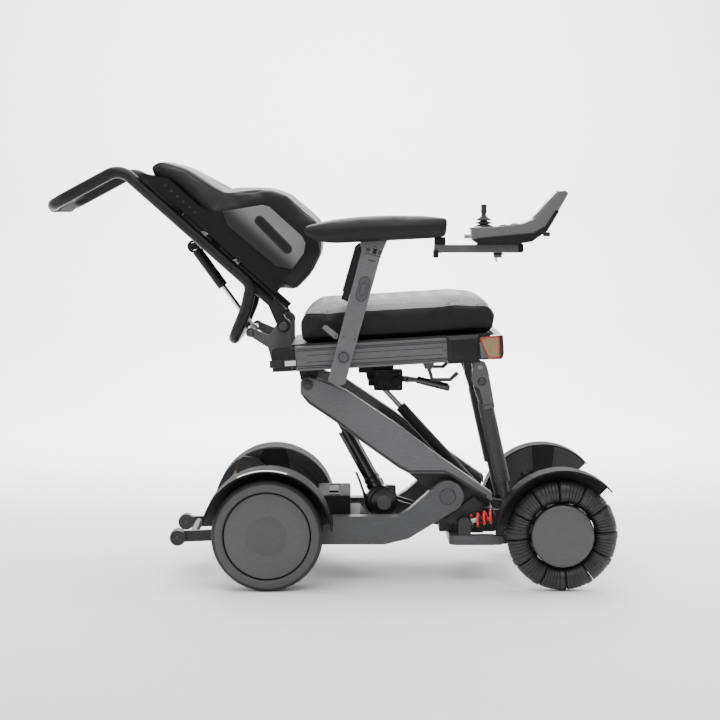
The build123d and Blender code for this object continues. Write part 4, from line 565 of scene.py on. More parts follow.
    def piece(self, name: str, body: str, slot: str, finishes: Sequence[Finish],
              stands_for: Sequence[str] = (), smooth: float = 38.0) -> bpy.types.Object:
        """Turns the mould into a finished object.

        Args:
            name: the piece's name.
            body: the body it rides on.
            slot: the record's material slot it belongs to; not used.
            finishes: its finishes, in the order of the parts' slot numbers.
            stands_for: the CAD nodes it takes the place of.
            smooth: edges that turn less than this, in degrees, are shaded smooth.

        Returns:
            The object.
        """
        bmesh.ops.scale(self.bm, vec=(MM, MM, MM), verts=self.bm.verts)
        mesh = bpy.data.meshes.new(name)
        self.bm.to_mesh(mesh)
        self.bm.free()
        mesh.shade_smooth()
        mesh.set_sharp_from_angle(angle=math.radians(smooth))
        thing = bpy.data.objects.new(name, mesh)
        bpy.context.scene.collection.objects.link(thing)
        for finish in finishes:
            mesh.materials.append(finish.material())
        tidy = thing.modifiers.new("even_shading", "WEIGHTED_NORMAL")
        tidy.keep_sharp = True
        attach(thing, body)
        if stands_for:
            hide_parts(*stands_for)
        log.info("%s: %d faces on %s", name, len(mesh.polygons), body)
        return thing


# ---------------------------------------------------------------- padded pieces
@dataclass(frozen=True)
class Cushion:
    """A stuffed piece grown from its plain solid.

    Attributes:
        node: the CAD solid whose place it takes.
        body: the body it rides on.
        shrink: how far its walls start inside the solid, in mm.
        cap: how far a point may swell, in mm.
        voxel: the size of its cloth's squares, in mm.
        seam: gives how near a point is to a seam, in mm.
        panel: gives how far inside the mesh panel a point is, in mm; the panel is painted lighter
            grey, partly as highlight.
        shape: moves a point of the plain solid to the real section, in mm.
    """

    node: str
    body: str
    shrink: float
    cap: float
    voxel: float
    seam: Callable[[Vector], float]
    panel: Callable[[Vector, Vector], float]
    shape: Callable[[Vector], Vector] | None = None
    pressure: float = 4.0
    fill: float = 0.85

    def build(self, name: str) -> bpy.types.Object:
        """Swells, seams and covers the cushion.

        Args:
            name: the piece's name.

        Returns:
            The finished object.
        """
        thing = self._start(name)
        self._remesh(thing)
        self._swell(thing)
        self._detail(thing)
        thing.data.materials.clear()
        thing.data.materials.append(HIDE.material())
        thing.data.shade_smooth()
        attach(thing, self.body)
        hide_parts(self.node)
        log.info("%s: %d faces", name, len(thing.data.polygons))
        return thing

    def _start(self, name: str) -> bpy.types.Object:
        """The solid's merged shape, drawn in along its normals."""
        bm = bmesh.new()
        bm.from_mesh(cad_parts[self.node].data)
        bmesh.ops.remove_doubles(bm, verts=bm.verts, dist=2e-6)
        bmesh.ops.dissolve_limit(bm, angle_limit=math.radians(0.5), verts=bm.verts, edges=bm.edges)
        bmesh.ops.triangulate(bm, faces=bm.faces)
        mesh = bpy.data.meshes.new(name)
        bm.to_mesh(mesh)
        bm.free()
        thing = bpy.data.objects.new(name, mesh)
        bpy.context.scene.collection.objects.link(thing)
        return thing

    def _apply(self, thing: bpy.types.Object) -> None:
        """Takes the object's evaluated shape as its mesh and drops its modifiers."""
        bpy.context.view_layer.update()
        graph = bpy.context.evaluated_depsgraph_get()
        mesh = bpy.data.meshes.new_from_object(thing.evaluated_get(graph))
        thing.modifiers.clear()
        thing.data = mesh

    def _smooth(self, mesh: bpy.types.Mesh, rounds: int, share: float = 0.5) -> None:
        """Evens a mesh out."""
        bm = bmesh.new()
        bm.from_mesh(mesh)
        for _ in range(rounds):
            bmesh.ops.smooth_vert(bm, verts=bm.verts, factor=share, use_axis_x=True,
                                  use_axis_y=True, use_axis_z=True)
        bm.to_mesh(mesh)
        bm.free()

    def _remesh(self, thing: bpy.types.Object) -> None:
        """Even squares all over, drawn in by the start gap, corners eased."""
        grid = thing.modifiers.new("grid", "REMESH")
        grid.mode = "VOXEL"
        grid.voxel_size = self.voxel * MM
        self._apply(thing)
        if self.shape is not None:
            for vertex in thing.data.vertices:
                vertex.co = self.shape(vertex.co / MM) * MM
        self._smooth(thing.data, 3)
        normals = [v.normal.copy() for v in thing.data.vertices]
        for vertex, normal in zip(thing.data.vertices, normals):
            vertex.co = vertex.co - normal * self.shrink * MM
        self._smooth(thing.data, 2)
        self._mark(thing.data)

    def _mark(self, mesh: bpy.types.Mesh) -> None:
        """Notes how far inside the mesh panel, painted lighter partly as highlight, each point is,
        from evened-out normals.
        """
        bm = bmesh.new()
        bm.from_mesh(mesh)
        for _ in range(10):
            bmesh.ops.smooth_vert(bm, verts=bm.verts, factor=0.5, use_axis_x=True,
                                  use_axis_y=True, use_axis_z=True)
        bm.normal_update()
        normals = [v.normal.copy() for v in bm.verts]
        bm.free()
        mark = mesh.attributes.new("panel", "FLOAT", "POINT")
        for vertex, normal in zip(mesh.vertices, normals):
            inside = self.panel(vertex.co / MM, normal)
            mark.data[vertex.index].value = min(1.0, max(0.0, 0.5 + inside / 12.0))

    def _swell(self, thing: bpy.types.Object) -> None:
        """Fills the cover by cloth pressure and holds the swelling to the cap."""
        before = [v.co.copy() for v in thing.data.vertices]
        cloth = thing.modifiers.new("cover", "CLOTH")
        cloth.settings.use_pressure = True
        cloth.settings.uniform_pressure_force = self.pressure
        cloth.settings.effector_weights.gravity = 0.0
        cloth.settings.quality = 4
        cloth.point_cache.frame_start, cloth.point_cache.frame_end = 1, 20
        for step in range(1, 21):
            bpy.context.scene.frame_set(step)
        self._apply(thing)
        bpy.context.scene.frame_set(1)
        for vertex, start in zip(thing.data.vertices, before):
            move = vertex.co - start
            if move.length > self.cap * MM:
                vertex.co = start + move.normalized() * self.cap * MM
        self._smooth(thing.data, 3)

    def _detail(self, thing: bpy.types.Object) -> None:
        """One subdivision and the sewn grooves."""
        fine = thing.modifiers.new("fine", "SUBSURF")
        fine.levels = fine.render_levels = 1
        self._apply(thing)
        mesh = thing.data
        moves = []
        for vertex in mesh.vertices:
            gap = self.seam(vertex.co / MM)
            moves.append(-vertex.normal * MM * 2.0 * math.exp(-(gap / 2.6) ** 2))
        for vertex, move in zip(mesh.vertices, moves):
            vertex.co = vertex.co + move


def seat_local(point: Vector) -> tuple[float, float]:
    """A point's place along the rail and above its line, in mm."""
    local = SEAT.inverted() @ point
    return local.x, local.z


def back_local(point: Vector) -> tuple[float, float]:
    """A point's place up the back and in front of its hinge line, in mm."""
    local = BACK.inverted() @ point
    return local.x, local.z


def seat_seam(point: Vector) -> float:
    """The seat's piping runs round its sides, a little below its top."""
    s, h = seat_local(point)
    top = 125.0 - 0.0009 * max(0.0, s - 290.0) ** 2
    return min(abs(h - (top - 22.0)), abs(h - 42.0) + 1.5)


def seat_panel(point: Vector, normal: Vector) -> float:
    """The seat's mesh panel, painted lighter partly as highlight, is its top face, inside the side
    seam.
    """
    s, h = seat_local(point)
    top = 125.0 - 0.0009 * max(0.0, s - 290.0) ** 2
    return h - (top - 22.0)


def back_seam(point: Vector) -> float:
    """The back's seams: down each wing's inner edge and round its outer edge."""
    s, h = back_local(point)
    wing = abs(abs(point.y) - 118.0)
    rim = abs(abs(point.y) - 176.0) if h > 80 else 99.0
    return min(wing if h > 100 else 99.0, rim)


def back_panel(point: Vector, normal: Vector) -> float:
    """The back's mesh panel, painted lighter partly as highlight, is its front face between the wing
    seams.
    """
    s, h = back_local(point)
    facing = normal.dot(Vector((0.664, 0, 0.748)))
    inward = -normal.y * math.copysign(1.0, point.y)
    turned = 60.0 * max(facing - 0.45, inward - 0.30)
    return min(turned, 168.0 - abs(point.y)) if h > 72 else -10.0


def pad_section(point: Vector) -> Vector:
    """Gives the arm pad a ridge along its sides, narrower above and below it."""
    middle = 249.0 if point.y > 0 else -249.0
    bottom = 822.0 + 0.047 * max(0.0, point.x)
    rise = (point.z - bottom - 24.0) / 30.0
    inward = 6.0 * max(0.0, rise) ** 1.5 + 9.0 * max(0.0, -rise)
    return Vector((point.x, middle + (point.y - middle) * (1 - inward / 36.0), point.z))


def pad_seam(point: Vector) -> float:
    """The arm pad's mould line, along its ridge."""
    bottom = 822.0 + 0.047 * max(0.0, point.x)
    return abs(point.z - bottom - 24.0) + 2.2


def no_panel(point: Vector, normal: Vector) -> float:
    """No mesh panel, and so no painted highlight, anywhere."""
    return -20.0


class Cushions:
    """Seat cushion, back cushion and both arm pads."""

    def build(self) -> None:
        """Makes all padded pieces."""
        Cushion("seat_cushion", "seat", 5.0, 9.0, 5.5, seat_seam, seat_panel).build("seat_pad")
        Cushion("back_cushion", "backrest", 4.0, 8.0, 5.5, back_seam, back_panel).build("back_pad")
        for side in ("right", "left"):
            Cushion(f"arm_pad_{side}", f"armrest_{side}", 0.6, 2.0, 4.0, pad_seam, no_panel,
                    pad_section, pressure=1.5, fill=1.0).build(f"arm_rest_pad_{side}")


# ---------------------------------------------------------------- wheels
@dataclass(frozen=True)
class RearWheel:
    """Solid drive tyre with a satin cover disc."""

    axle_x: float = -151.0
    radius: float = 132.5
    outer: float = 290.0
    width: float = 84.0
    wall_edge: float = 122.0
    dish_edge: float = 46.5

    def build(self) -> None:
        """Makes both wheels."""
        for side, sign in SIDES.items():
            self._tyre(side, sign)
            self._cover(side, sign)

    def _tyre(self, side: str, sign: int) -> None:
        """The tyre: rounded walls with a step, and a tread with two grooves round it."""
        r, w = self.radius, self.width
        profile = [(106.0, 2.0), (108.0, 0.3), (112.0, -0.2), (118.0, 0.4), (123.0, 2.2),
                   (127.5, 5.2), (130.6, 9.6), (131.6, 13.0), (130.9, 13.8), (131.0, 14.8),
                   (132.2, 16.0), (r, 20.0), (r, w / 2 - 10), (r - 1.6, w / 2 - 9),
                   (r - 1.6, w / 2 - 7), (r, w / 2 - 6)]
        ring = profile + [(a, w - b) for a, b in reversed(profile)] + [(105.0, w - 3), (105.0, 3.0)]
        mould = Mould()
        part = bmesh.new()
        line = [part.verts.new((a, 0, -b)) for a, b in ring]
        edges = [part.edges.new((line[i], line[(i + 1) % len(line)])) for i in range(len(line))]
        bmesh.ops.spin(part, geom=line + edges, axis=(0, 0, 1), cent=(0, 0, 0),
                       angle=math.tau, steps=96, use_merge=True)
        bmesh.ops.remove_doubles(part, verts=part.verts, dist=1e-3)
        mould.absorb(part, 0, aim((self.axle_x, sign * self.outer, self.radius), (0, sign, 0)))
        # Faces inside wall_edge take the lighter sidewall colour, a painted highlight.
        for face in mould.bm.faces:
            middle = face.calc_center_median()
            across = math.hypot(middle.x - self.axle_x, middle.z - self.radius)
            if across < self.wall_edge:
                face.material_index = 1
        mould.piece(f"drive_tyre_{side}", f"rear_wheel_{side}", "tyre_rubber", [TREAD, SIDEWALL_HIGHLIGHT],
                    [f"rear_tyre_{side}"], 30)

    def _cover(self, side: str, sign: int) -> None:
        """The cover: a crowned disc with a dished centre, and the hub behind it."""
        top = self.outer - 1.0
        mould = Mould()
        mould.lathe([(0, 0.6), (20, 0.6), (40, 0.1), (45.5, -0.9), (48.0, -1.2), (49.5, -0.2),
                     (52, 0.3), (66, 0.2), (86, -0.6), (97, -1.9), (100.6, -3.0), (101.4, -4.6),
                     (101.4, -7.0), (0, -7.0)],
                    (self.axle_x, sign * top, self.radius), (0, sign, 0), 0, 96)
        for face in mould.bm.faces:
            middle = face.calc_center_median()
            if math.hypot(middle.x - self.axle_x, middle.z - self.radius) < self.dish_edge:
                face.material_index = 1
        mould.lathe([(0, 0), (103.5, 0), (104.5, -1.5), (104.5, -67), (96, -69), (92, -60),
                     (60, -54),
                     (40, -56), (34, -66), (0, -67)],
                    (self.axle_x, sign * (top - 7.6), self.radius), (0, sign, 0), 2, 64)
        mould.piece(f"drive_cover_{side}", f"rear_wheel_{side}", "wheel_cover",
                    [COVER_GREY, DISH_GREY, BLACK], [f"rear_rim_{side}"], 24)


@dataclass(frozen=True)
class OmniWheel:
    """Front wheel with a ring of ribbed barrels round a plain hub."""

    axle_x: float = 547.0
    radius: float = 132.5
    centre_y: float = 260.0
    barrel: float = 28.5
    count: int = 12
    phase: float = 10.0
    rings: int = 50
    grooves: tuple[float, ...] = (0.06, 0.29, 0.44, 0.58, 0.72, 0.86)

    def build(self) -> None:
        """Makes both wheels."""
        for side, sign in SIDES.items():
            self._barrels(side, sign)
            self._hub(side, sign)

    def _rib(self, share: float) -> float:
        """How thick a barrel is at a share of its length: a wide band, then narrow ones."""
        end = 1 - 0.14 * max(0.0, 1 - min(share, 1 - share) / 0.05) ** 2
        band = 1.0 if share < 0.27 else 0.955
        groove = max(0.0, *(1 - abs(share - place) / 0.02 for place in self.grooves))
        return end * band * (1 - 0.05 * groove)

    def _barrels(self, side: str, sign: int) -> None:
        """One barrel bent along the wheel's rim, repeated round it."""
        mould = Mould()
        ring = self.radius - self.barrel
        span = math.tau / self.count * 0.985
        for index in range(self.count):
            part = bmesh.new()
            turn = Matrix.Rotation(math.radians(self.phase) + math.tau * index / self.count
                                   - span / 2, 4, "Y")
            bmesh.ops.create_circle(part, cap_ends=True, segments=20, radius=self.barrel,
                                    matrix=Matrix.Translation((ring, 0, 0)))
            part.transform(turn)
            disc = list(part.faces) + list(part.edges) + list(part.verts)
            bmesh.ops.spin(part, geom=disc, axis=(0, 1, 0), cent=(0, 0, 0), angle=span,
                           steps=self.rings, use_merge=False)
            first = turn.to_3x3() @ Vector((1, 0, 0))
            side_axis = turn.to_3x3() @ Vector((0, 0, -1))
            for vertex in part.verts:
                around = math.atan2(vertex.co.dot(side_axis), vertex.co.dot(first))
                share = min(1.0, max(0.0, around / span))
                middle = (first * math.cos(around) + side_axis * math.sin(around)) * ring
                vertex.co = middle + (vertex.co - middle) * self._rib(share)
            mould.absorb(part, 0,
                         Matrix.Translation((self.axle_x, sign * self.centre_y, self.radius)))
        mould.piece(f"omni_barrels_{side}", f"front_wheel_{side}", "tyre_rubber", [ROLLER_RUBBER],
                    [f"front_rollers_{side}"], 50)

    def _hub(self, side: str, sign: int) -> None:
        """Cap, drum, and the roller brackets between the barrels."""
        mould = Mould()
        face = sign * 290.0
        mould.lathe([(0, 0), (62, -0.2), (69, -1.2), (72.4, -3.2), (73.6, -5.6), (73.6, -8),
                     (0, -8)],
                    (self.axle_x, face, self.radius), (0, sign, 0), 0, 96)
        mould.lathe([(0, 0), (75, 0), (75, -44), (58, -47), (50, -38), (30, -36), (26, -46),
                     (0, -46)],
                    (self.axle_x, face - sign * 8.6, self.radius), (0, sign, 0), 1, 64)
        for index in range(self.count):
            turn = math.radians(self.phase) + math.tau * (index + 0.5) / self.count
            out = Vector((math.cos(turn), 0, -math.sin(turn)))
            base = Vector((self.axle_x, sign * self.centre_y, self.radius))
            mould.rod(base + out * 70, base + out * 106, 7.0, 1, 0.8, 16, 4.5)
        mould.piece(f"omni_hub_{side}", f"front_wheel_{side}", "brushed_cover",
                    [COVER_GREY, BLACK], [f"front_hub_{side}"], 24)


@dataclass(frozen=True)
class AntiTipWheel:
    """Small rear roller with turned rings."""

    x: float = -374.0
    z: float = 105.0
    inner: float = 121.0
    outer: float = 143.0

    def build(self) -> None:
        """Makes both rollers with their screws."""
        for side, sign in SIDES.items():
            mould = Mould()
            mould.lathe([(0, 0), (5.5, 0), (6, 0.6), (10.5, 0.6), (11.5, -1.2), (14, -1.2), (15, 0),
                         (17.2, 0), (18.6, -1.2), (19.4, -4), (19.7, -11), (19.4, -18),
                         (18.6, -20.8),
                         (17.2, -22), (0, -22)],
                        (self.x, sign * self.outer, self.z), (0, sign, 0), 0, 48)
            mould.bolt((self.x, sign * (self.outer + 0.2), self.z), (0, sign, 0), 4.6, 2.4, 1)
            mould.piece(f"tip_roller_{side}", f"anti_tip_{side}", "tyre_rubber",
                        [DARK_COAT, DARK_STEEL], [f"anti_tip_wheel_{side}"], 28)


# ---------------------------------------------------------------- scene
@dataclass(frozen=True)
class Studio:
    """Floor, soft lights and the camera."""

    eye: Point = (0.057, -4.917, 0.902)
    pitch: float = 4.35
    lens: float = 99.3
    shift: float = 5 / 720

    def build(self) -> None:
        """Sets the whole studio."""
        self._camera()
        self._floor()
        self._light("key", (0.4, -2.6, 3.2), (0.1, 0.0, 0.4), 2.2, 80.0)
        self._light("top", (0.0, 0.3, 3.2), (0.1, 0.0, 0.4), 2.4, 120.0)
        self._light("left_fill", (-3.4, -1.0, 1.4), (0.0, 0.0, 0.5), 1.8, 40.0)
        self._light("right_rim", (3.2, 0.6, 1.6), (0.2, 0.0, 0.5), 1.6, 45.0)
        self._light("backdrop", (0.0, 2.4, 3.4), (0.0, 6.6, 1.4), 3.4, 620.0)
        self._light("backdrop_low", (0.0, 3.2, 3.0), (0.0, 3.8, 0.0), 3.4, 240.0)
        world = bpy.data.worlds.new("studio")
        world.use_nodes = True
        sky = world.node_tree.nodes["Background"]
        sky.inputs[0].default_value = (1.0, 1.0, 1.0, 1.0)
        sky.inputs[1].default_value = 0.55
        bpy.context.scene.world = world

    def _camera(self) -> None:
        """The camera at the viewing angle, with a small shift."""
        data = bpy.data.cameras.new("camera")
        data.lens, data.sensor_width = self.lens, 36.0
        data.shift_x = self.shift
        data.clip_end = 60.0
        camera = bpy.data.objects.new("camera", data)
        camera.location = self.eye
        camera.rotation_euler = (math.radians(90 - self.pitch), 0, 0)
        bpy.context.scene.collection.objects.link(camera)
        bpy.context.scene.camera = camera

    def _floor(self) -> None:
        """A plain pale floor that curves up behind."""
        bm = bmesh.new()
        line = [bm.verts.new((-9, y, z)) for y, z in
                [(-9, 0), (4, 0), (5.2, 0.25), (6.1, 0.9), (6.5, 2.0), (6.6, 8.0)]]
        edges = [bm.edges.new(pair) for pair in zip(line, line[1:])]
        grown = bmesh.ops.extrude_edge_only(bm, edges=edges)["geom"]
        bmesh.ops.translate(bm, vec=(18, 0, 0),
                            verts=[v for v in grown if isinstance(v, bmesh.types.BMVert)])
        bmesh.ops.recalc_face_normals(bm, faces=bm.faces)
        mesh = bpy.data.meshes.new("floor")
        bm.to_mesh(mesh)
        bm.free()
        mesh.shade_smooth()
        floor = bpy.data.objects.new("floor", mesh)
        graph = Graph("floor")
        graph.surface(Base_Color=(0.93, 0.93, 0.93), Roughness=0.75)
        mesh.materials.append(graph.material)
        bpy.context.scene.collection.objects.link(floor)

    def _light(self, name: str, place: Point, target: Point, size: float, power: float) -> None:
        """One square soft light aimed at a point."""
        data = bpy.data.lights.new(name, "AREA")
        data.size, data.energy = size, power
        lamp = bpy.data.objects.new(name, data)
        lamp.location = place
        lamp.rotation_euler = (Vector(target) - Vector(place)).to_track_quat("-Z", "Y").to_euler()
        bpy.context.scene.collection.objects.link(lamp)


# ---------------------------------------------------------------- drive base
def stadium(x: float, z: float, length: float, width: float,
            angle: float) -> list[tuple[float, float]]:
    """The outline of a slot, turned by angle from +X towards +Z, in degrees."""
    turn = math.radians(angle)
    reach, radius = (length - width) / 2, width / 2
    points = []
    for end in (1, -1):
        for step in range(9):
            a = math.radians(-90 + 22.5 * step) + (0 if end > 0 else math.pi)
            u, v = end * reach + radius * math.cos(a), radius * math.sin(a)
            points.append((x + u * math.cos(turn) - v * math.sin(turn),
                           z + u * math.sin(turn) + v * math.cos(turn)))
    return points


def arc_band(mould: Mould, centre: tuple[float, float], radii: tuple[float, float],
             depth: tuple[float, float], sweep: tuple[float, float], slot: int = 0,
             bevel: float = 0.5) -> None:
    """Adds part of a ring round a wheel's axle.

    Args:
        mould: the piece it belongs to.
        centre: the axle's X and Z.
        radii: inner and outer radius.
        depth: lowest and highest Y.
        sweep: first and last angle from +X towards +Z, in degrees.
        slot: the number of its finish.
        bevel: the width of its rounded edges.
    """
    part = bmesh.new()
    ring = [part.verts.new((r, y, 0)) for r, y in
            [(radii[0], depth[0]), (radii[1], depth[0]), (radii[1], depth[1]),
             (radii[0], depth[1])]]
    face = part.faces.new(ring)
    part.transform(Matrix.Rotation(-math.radians(sweep[0]), 4, "Y"))
    geom = [face] + list(part.edges) + list(part.verts)
    bmesh.ops.spin(part, geom=geom, axis=(0, 1, 0), cent=(0, 0, 0),
                   angle=-math.radians(sweep[1] - sweep[0]),
                   steps=max(6, int((sweep[1] - sweep[0]) / 3)), use_merge=False)
    bmesh.ops.recalc_face_normals(part, faces=part.faces)
    round_edges(part, bevel, 2, 40)
    mould.absorb(part, slot, Matrix.Translation((centre[0], 0, centre[1])))


@dataclass(frozen=True)
class Fenders:
    """Inner walls, a white rim strip of painted highlight on each rear fender, and tail housings of
    the mudguards.
    """

    rear: tuple[float, float] = (-151.0, 132.5)
    front: tuple[float, float] = (547.0, 132.5)

    def build(self) -> None:
        """Makes the rear and front fender details."""
        for side, sign in SIDES.items():
            self._rear(side, sign)
            self._front(side, sign)

    @staticmethod
    def _span(sign: int, near: float, far: float) -> tuple[float, float]:
        """Lowest and highest Y of a wall between two distances from the middle."""
        return (near, far) if sign > 0 else (-far, -near)

    def _rear(self, side: str, sign: int) -> None:
        """Stepped inner wall, a white strip of painted highlight along the top, and tail lamp housing.
        """
        mould = Mould()
        steps = [(141, 155.5, 178.4, 181.4), (124, 141.5, 180.6, 183.2), (104, 124.5, 178.4, 181.4),
                 (86, 104.5, 181.0, 183.6), (66, 86.5, 178.4, 181.4)]
        for low, high, near, far in steps:
            arc_band(mould, self.rear, (low, high), self._span(sign, near, far), (5, 175), 0, 0.8)
        mould.piece(f"rear_fender_wall_{side}", "chassis", "black_plastic", [WALL])
        trim = Mould()
        # Painted highlight: a white strip where the fender's top edge catches the light.
        arc_band(trim, self.rear, (155.8, 157.4), self._span(sign, 288, 297.4), (72, 116), 0, 0.4)
        trim.piece(f"rear_reflector_{side}", "chassis", "trim_grey", [REFLECTOR_AND_HIGHLIGHT])
        lamp = Mould()
        y0, y1 = self._span(sign, 168, 178.6)
        lamp.slab([(-255, 219), (-243, 258), (-232, 267), (-196, 264), (-176, 246), (-172, 222)],
                  y0, y1, 3.0, 0)
        lamp.slab([(-246, 226), (-238, 254), (-230, 259), (-200, 256), (-184, 243), (-182, 228)],
                  *self._span(sign, 166.8, 170), 1.0, 1)
        lamp.slab(stadium(-252, 223, 14, 7, 70), *self._span(sign, 166.0, 170), 0.8, 2)
        lamp.piece(f"tail_housing_{side}", "chassis", "black_plastic", [DARK_COAT, WALL, AMBER])

    def _front(self, side: str, sign: int) -> None:
        """The stepped inner wall of the front fender."""
        mould = Mould()
        steps = [(144, 157.4, 226.2, 228.0), (130, 144.5, 227.4, 229.2), (116, 130.5, 228.4, 230.0),
                 (100, 116.5, 229.2, 230.6)]
        for low, high, near, far in steps:
            arc_band(mould, self.front, (low, high), self._span(sign, near, far), (44, 174), 0, 0.6)
        mould.piece(f"front_fender_wall_{side}", f"suspension_{side}", "black_plastic", [WALL])


class DriveBase:
    """Boss caps, side covers, springs and battery trim."""

    boss: tuple[float, float] = (280.0, 212.0)
    cover: Outline = ((274, 154), (344, 205), (363, 188), (360, 175), (313, 145), (286, 143))
    spring_rear: tuple[float, float] = (322.0, 146.0)
    spring_dir: tuple[float, float] = (0.9653, 0.2609)
    coil_turns: float = 3.1
    coil_rise: float = 50.0
    coil_radius: float = 14.6
    coil_wire: float = 3.2

    def build(self) -> None:
        """Makes the details that ride on the chassis."""
        caps = Mould()
        x, z = self.boss
        caps.lathe([(0, 2.2), (11, 2.0), (15.2, 1.4), (16.2, 0.2), (16.2, -1), (0, -1)],
                   (x, -178, z), (0, -1, 0), 0, 48)
        caps.lathe([(0, 0.5), (18.8, 0.5), (19.4, 0), (19.4, -1), (0, -1)],
                   (x, -178, z), (0, -1, 0), 1, 48)
        caps.mirrored().piece("boss_caps", "chassis", "pin_steel", [FRAME_GREY, RECESS_SHADE])
        covers = Mould()
        covers.slab(self.cover, -151.0, -149.2, 0.9, 0)
        inner = [(318 + (px - 318) * 0.8, 170 + (pz - 170) * 0.78) for px, pz in self.cover]
        covers.slab(inner, -152.0, -150.6, 0.6, 0)
        covers.block((318, -152.2, 171), (26, 0.6, 1.4), 0.2, 1)
        covers.mirrored().piece("side_cover_panels", "chassis", "dark_metal", [DARK_COAT, RECESS_SHADE])
        battery = Mould()
        battery.block((5, 0, 181), (82, 226, 48), 4.0, 0)
        battery.block((5, 0, 205.5), (24, 100, 6), 2.4, 1)
        for y in (-92, 92):
            battery.block((5, y, 204.6), (30, 20, 4), 1.4, 1)
            for x in (-24, 34):
                battery.bolt((x, y, 204.8), (0, 0, 1), 3.4, 1.8, 2)
        battery.piece("battery_lid", "chassis", "black_plastic", [FENDER, BLACK, DARK_STEEL])
        for side, sign in SIDES.items():
            self._spring(side, sign)

    def _spring(self, side: str, sign: int) -> None:
        """A thick red coil and the rod through it."""
        dx, dz = self.spring_dir
        y = sign * 167.0
        base = Vector((self.spring_rear[0] + dx * 19, y, self.spring_rear[1] + dz * 19))
        along, up, out = Vector((dx, 0, dz)), Vector((-dz, 0, dx)), Vector((0, 1, 0))
        turns, rise, steps = self.coil_turns, self.coil_rise, 54
        points = []
        for index in range(steps + 1):
            a = math.tau * turns * index / steps
            points.append(base + along * rise * index / steps
                          + (up * math.cos(a) + out * math.sin(a)) * self.coil_radius)
        coil = Mould().sweep(points, self.coil_wire, 0, sides=3)
        spring = coil.piece(f"red_coil_{side}", "chassis", "spring_red", [SPRING_RED],
                            [f"shock_spring_{side}"], 60)
        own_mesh(spring)
        rod = Mould()
        start = base - along * 14
        rod.rod(start, start + along * 26, 7.4, 0, 0.8)
        rod.lathe([(0, 0), (15, 0), (16, 1), (16, 3), (0, 3)], base - along * 5, along, 1, 32)
        rod.piece(f"damper_sleeve_{side}", "chassis", "frame_grey", [STEEL, DARK_STEEL])


# ---------------------------------------------------------------- lift
class LiftDetails:
    """Edge bands of painted shade and pins of the arms, motor cap, gland and strut plates."""

    low_edge: Outline = ((-68, 453), (-54, 438), (16, 390.5), (73, 346.5), (161, 283.5), (185, 271),
                         (270, 271), (292, 260), (372, 210))
    axis: tuple[float, float] = (-0.48258, 0.87585)

    def build(self) -> None:
        """Makes every lift detail."""
        self._arms()
        self._motor()
        self._struts()

    def _arms(self) -> None:
        """A band of painted shade along each arm's lower edge, where its chamfer faces down, and its
        pins.
        """
        mould = Mould()
        raised = [(x + 2.5, z + 5.0) for x, z in reversed(self.low_edge)]
        mould.slab(list(self.low_edge) + raised, -178.9, -177.6, 0.4, 0)
        mould.lathe([(0, 3.2), (8, 3.0), (11.5, 1.6), (12.5, 0), (0, 0)],
                    (-56.2, -180.4, 482.3), (0, -1, 0), 1, 36)
        mould.bolt((-56.2, -183.2, 482.3), (0, -1, 0), 5.0, 2.0, 2)
        mould.mirrored().piece("arm_edge_shade_bands", "lift", "frame_grey",
                               [ARM_EDGE_SHADE, DARK_COAT, DARK_STEEL])

    def _motor(self) -> None:
        """Grey end caps, a collar with its joint, the cable gland and a short cable."""
        mould = Mould()
        for sign in (-1, 1):
            mould.lathe([(0, 2.0), (32, 1.6), (34, 0.4), (34, -0.6), (0, -0.6)],
                        (129, sign * 43.0, 177.5), (0, sign, 0), 1, 56)
            mould.lathe([(0, 2.4), (14.5, 2.2), (17.2, 1.2), (18, 0), (0, 0)],
                        (129, sign * 45.0, 177.5), (0, sign, 0), 0, 48)
        base = Vector((129, 0, 177.5))
        axis = Vector((self.axis[0], 0, self.axis[1]))
        for start, end, radius in ((36, 54, 22.5), (56, 66, 21.0), (66.5, 70, 19.8)):
            mould.rod(base + axis * start, base + axis * end, radius, 1, 1.4, 40)
        mould.block((144, 0, 200), (30, 34, 34), 5.0, 1)
        gland, tip = Vector((90, 0, 168)), Vector((79, 0, 196))
        mould.rod(Vector((98, 0, 158)), gland, 7.6, 1, 1.0, 24)
        mould.rod(gland, tip, 5.8, 2, 0.8, 24, 3.8)
        for index in range(5):
            mould.lathe([(0, 0), (6.2 - 0.45 * index, 0), (6.2 - 0.45 * index, 1.8), (0, 1.8)],
                        gland + (tip - gland) * (0.1 + 0.19 * index), tip - gland, 2, 20)
        mould.sweep([tip, Vector((73, 0, 213)), Vector((67, 0, 231)), Vector((60, 0, 248))], 3.0, 2)
        mould.piece("lift_motor_trim", "lift_motor", "black_plastic",
                    [TRIM_GREY, GLOSS_BLACK, CABLE_RUBBER])

    def _struts(self) -> None:
        """Bolted top plates of the front struts."""
        mould = Mould()
        plate = [(336, 520), (340, 538), (352, 545), (365, 541), (372, 524), (378, 494), (389, 433),
                 (364, 426), (356, 462), (352, 476), (338, 486), (332, 500)]
        mould.slab(plate, -225.6, -223.2, 0.8, 0)
        mould.lathe([(0, 0.5), (9.5, 0.5), (10, 0), (0, 0)], (358, -225.6, 494), (0, -1, 0), 2, 36)
        mould.bolt((358, -226, 494), (0, -1, 0), 7.2, 2.6, 1)
        mould.lathe([(0, 1.4), (5, 1.2), (6, 0), (0, 0)], (354, -225.6, 528), (0, -1, 0), 3, 32)
        for x, z in ((366, 437), (374, 438.5), (382, 440)):
            mould.bolt((x, -225.6, z), (0, -1, 0), 2.6, 1.4, 1)
        mould.bolt((402, -221.8, 268), (0, -1, 0), 3.0, 1.6, 1)
        mould.mirrored().piece("strut_plates", "strut_upper", "dark_metal",
                               [FRAME_GREY, DARK_STEEL, RECESS_SHADE, TRIM_GREY])


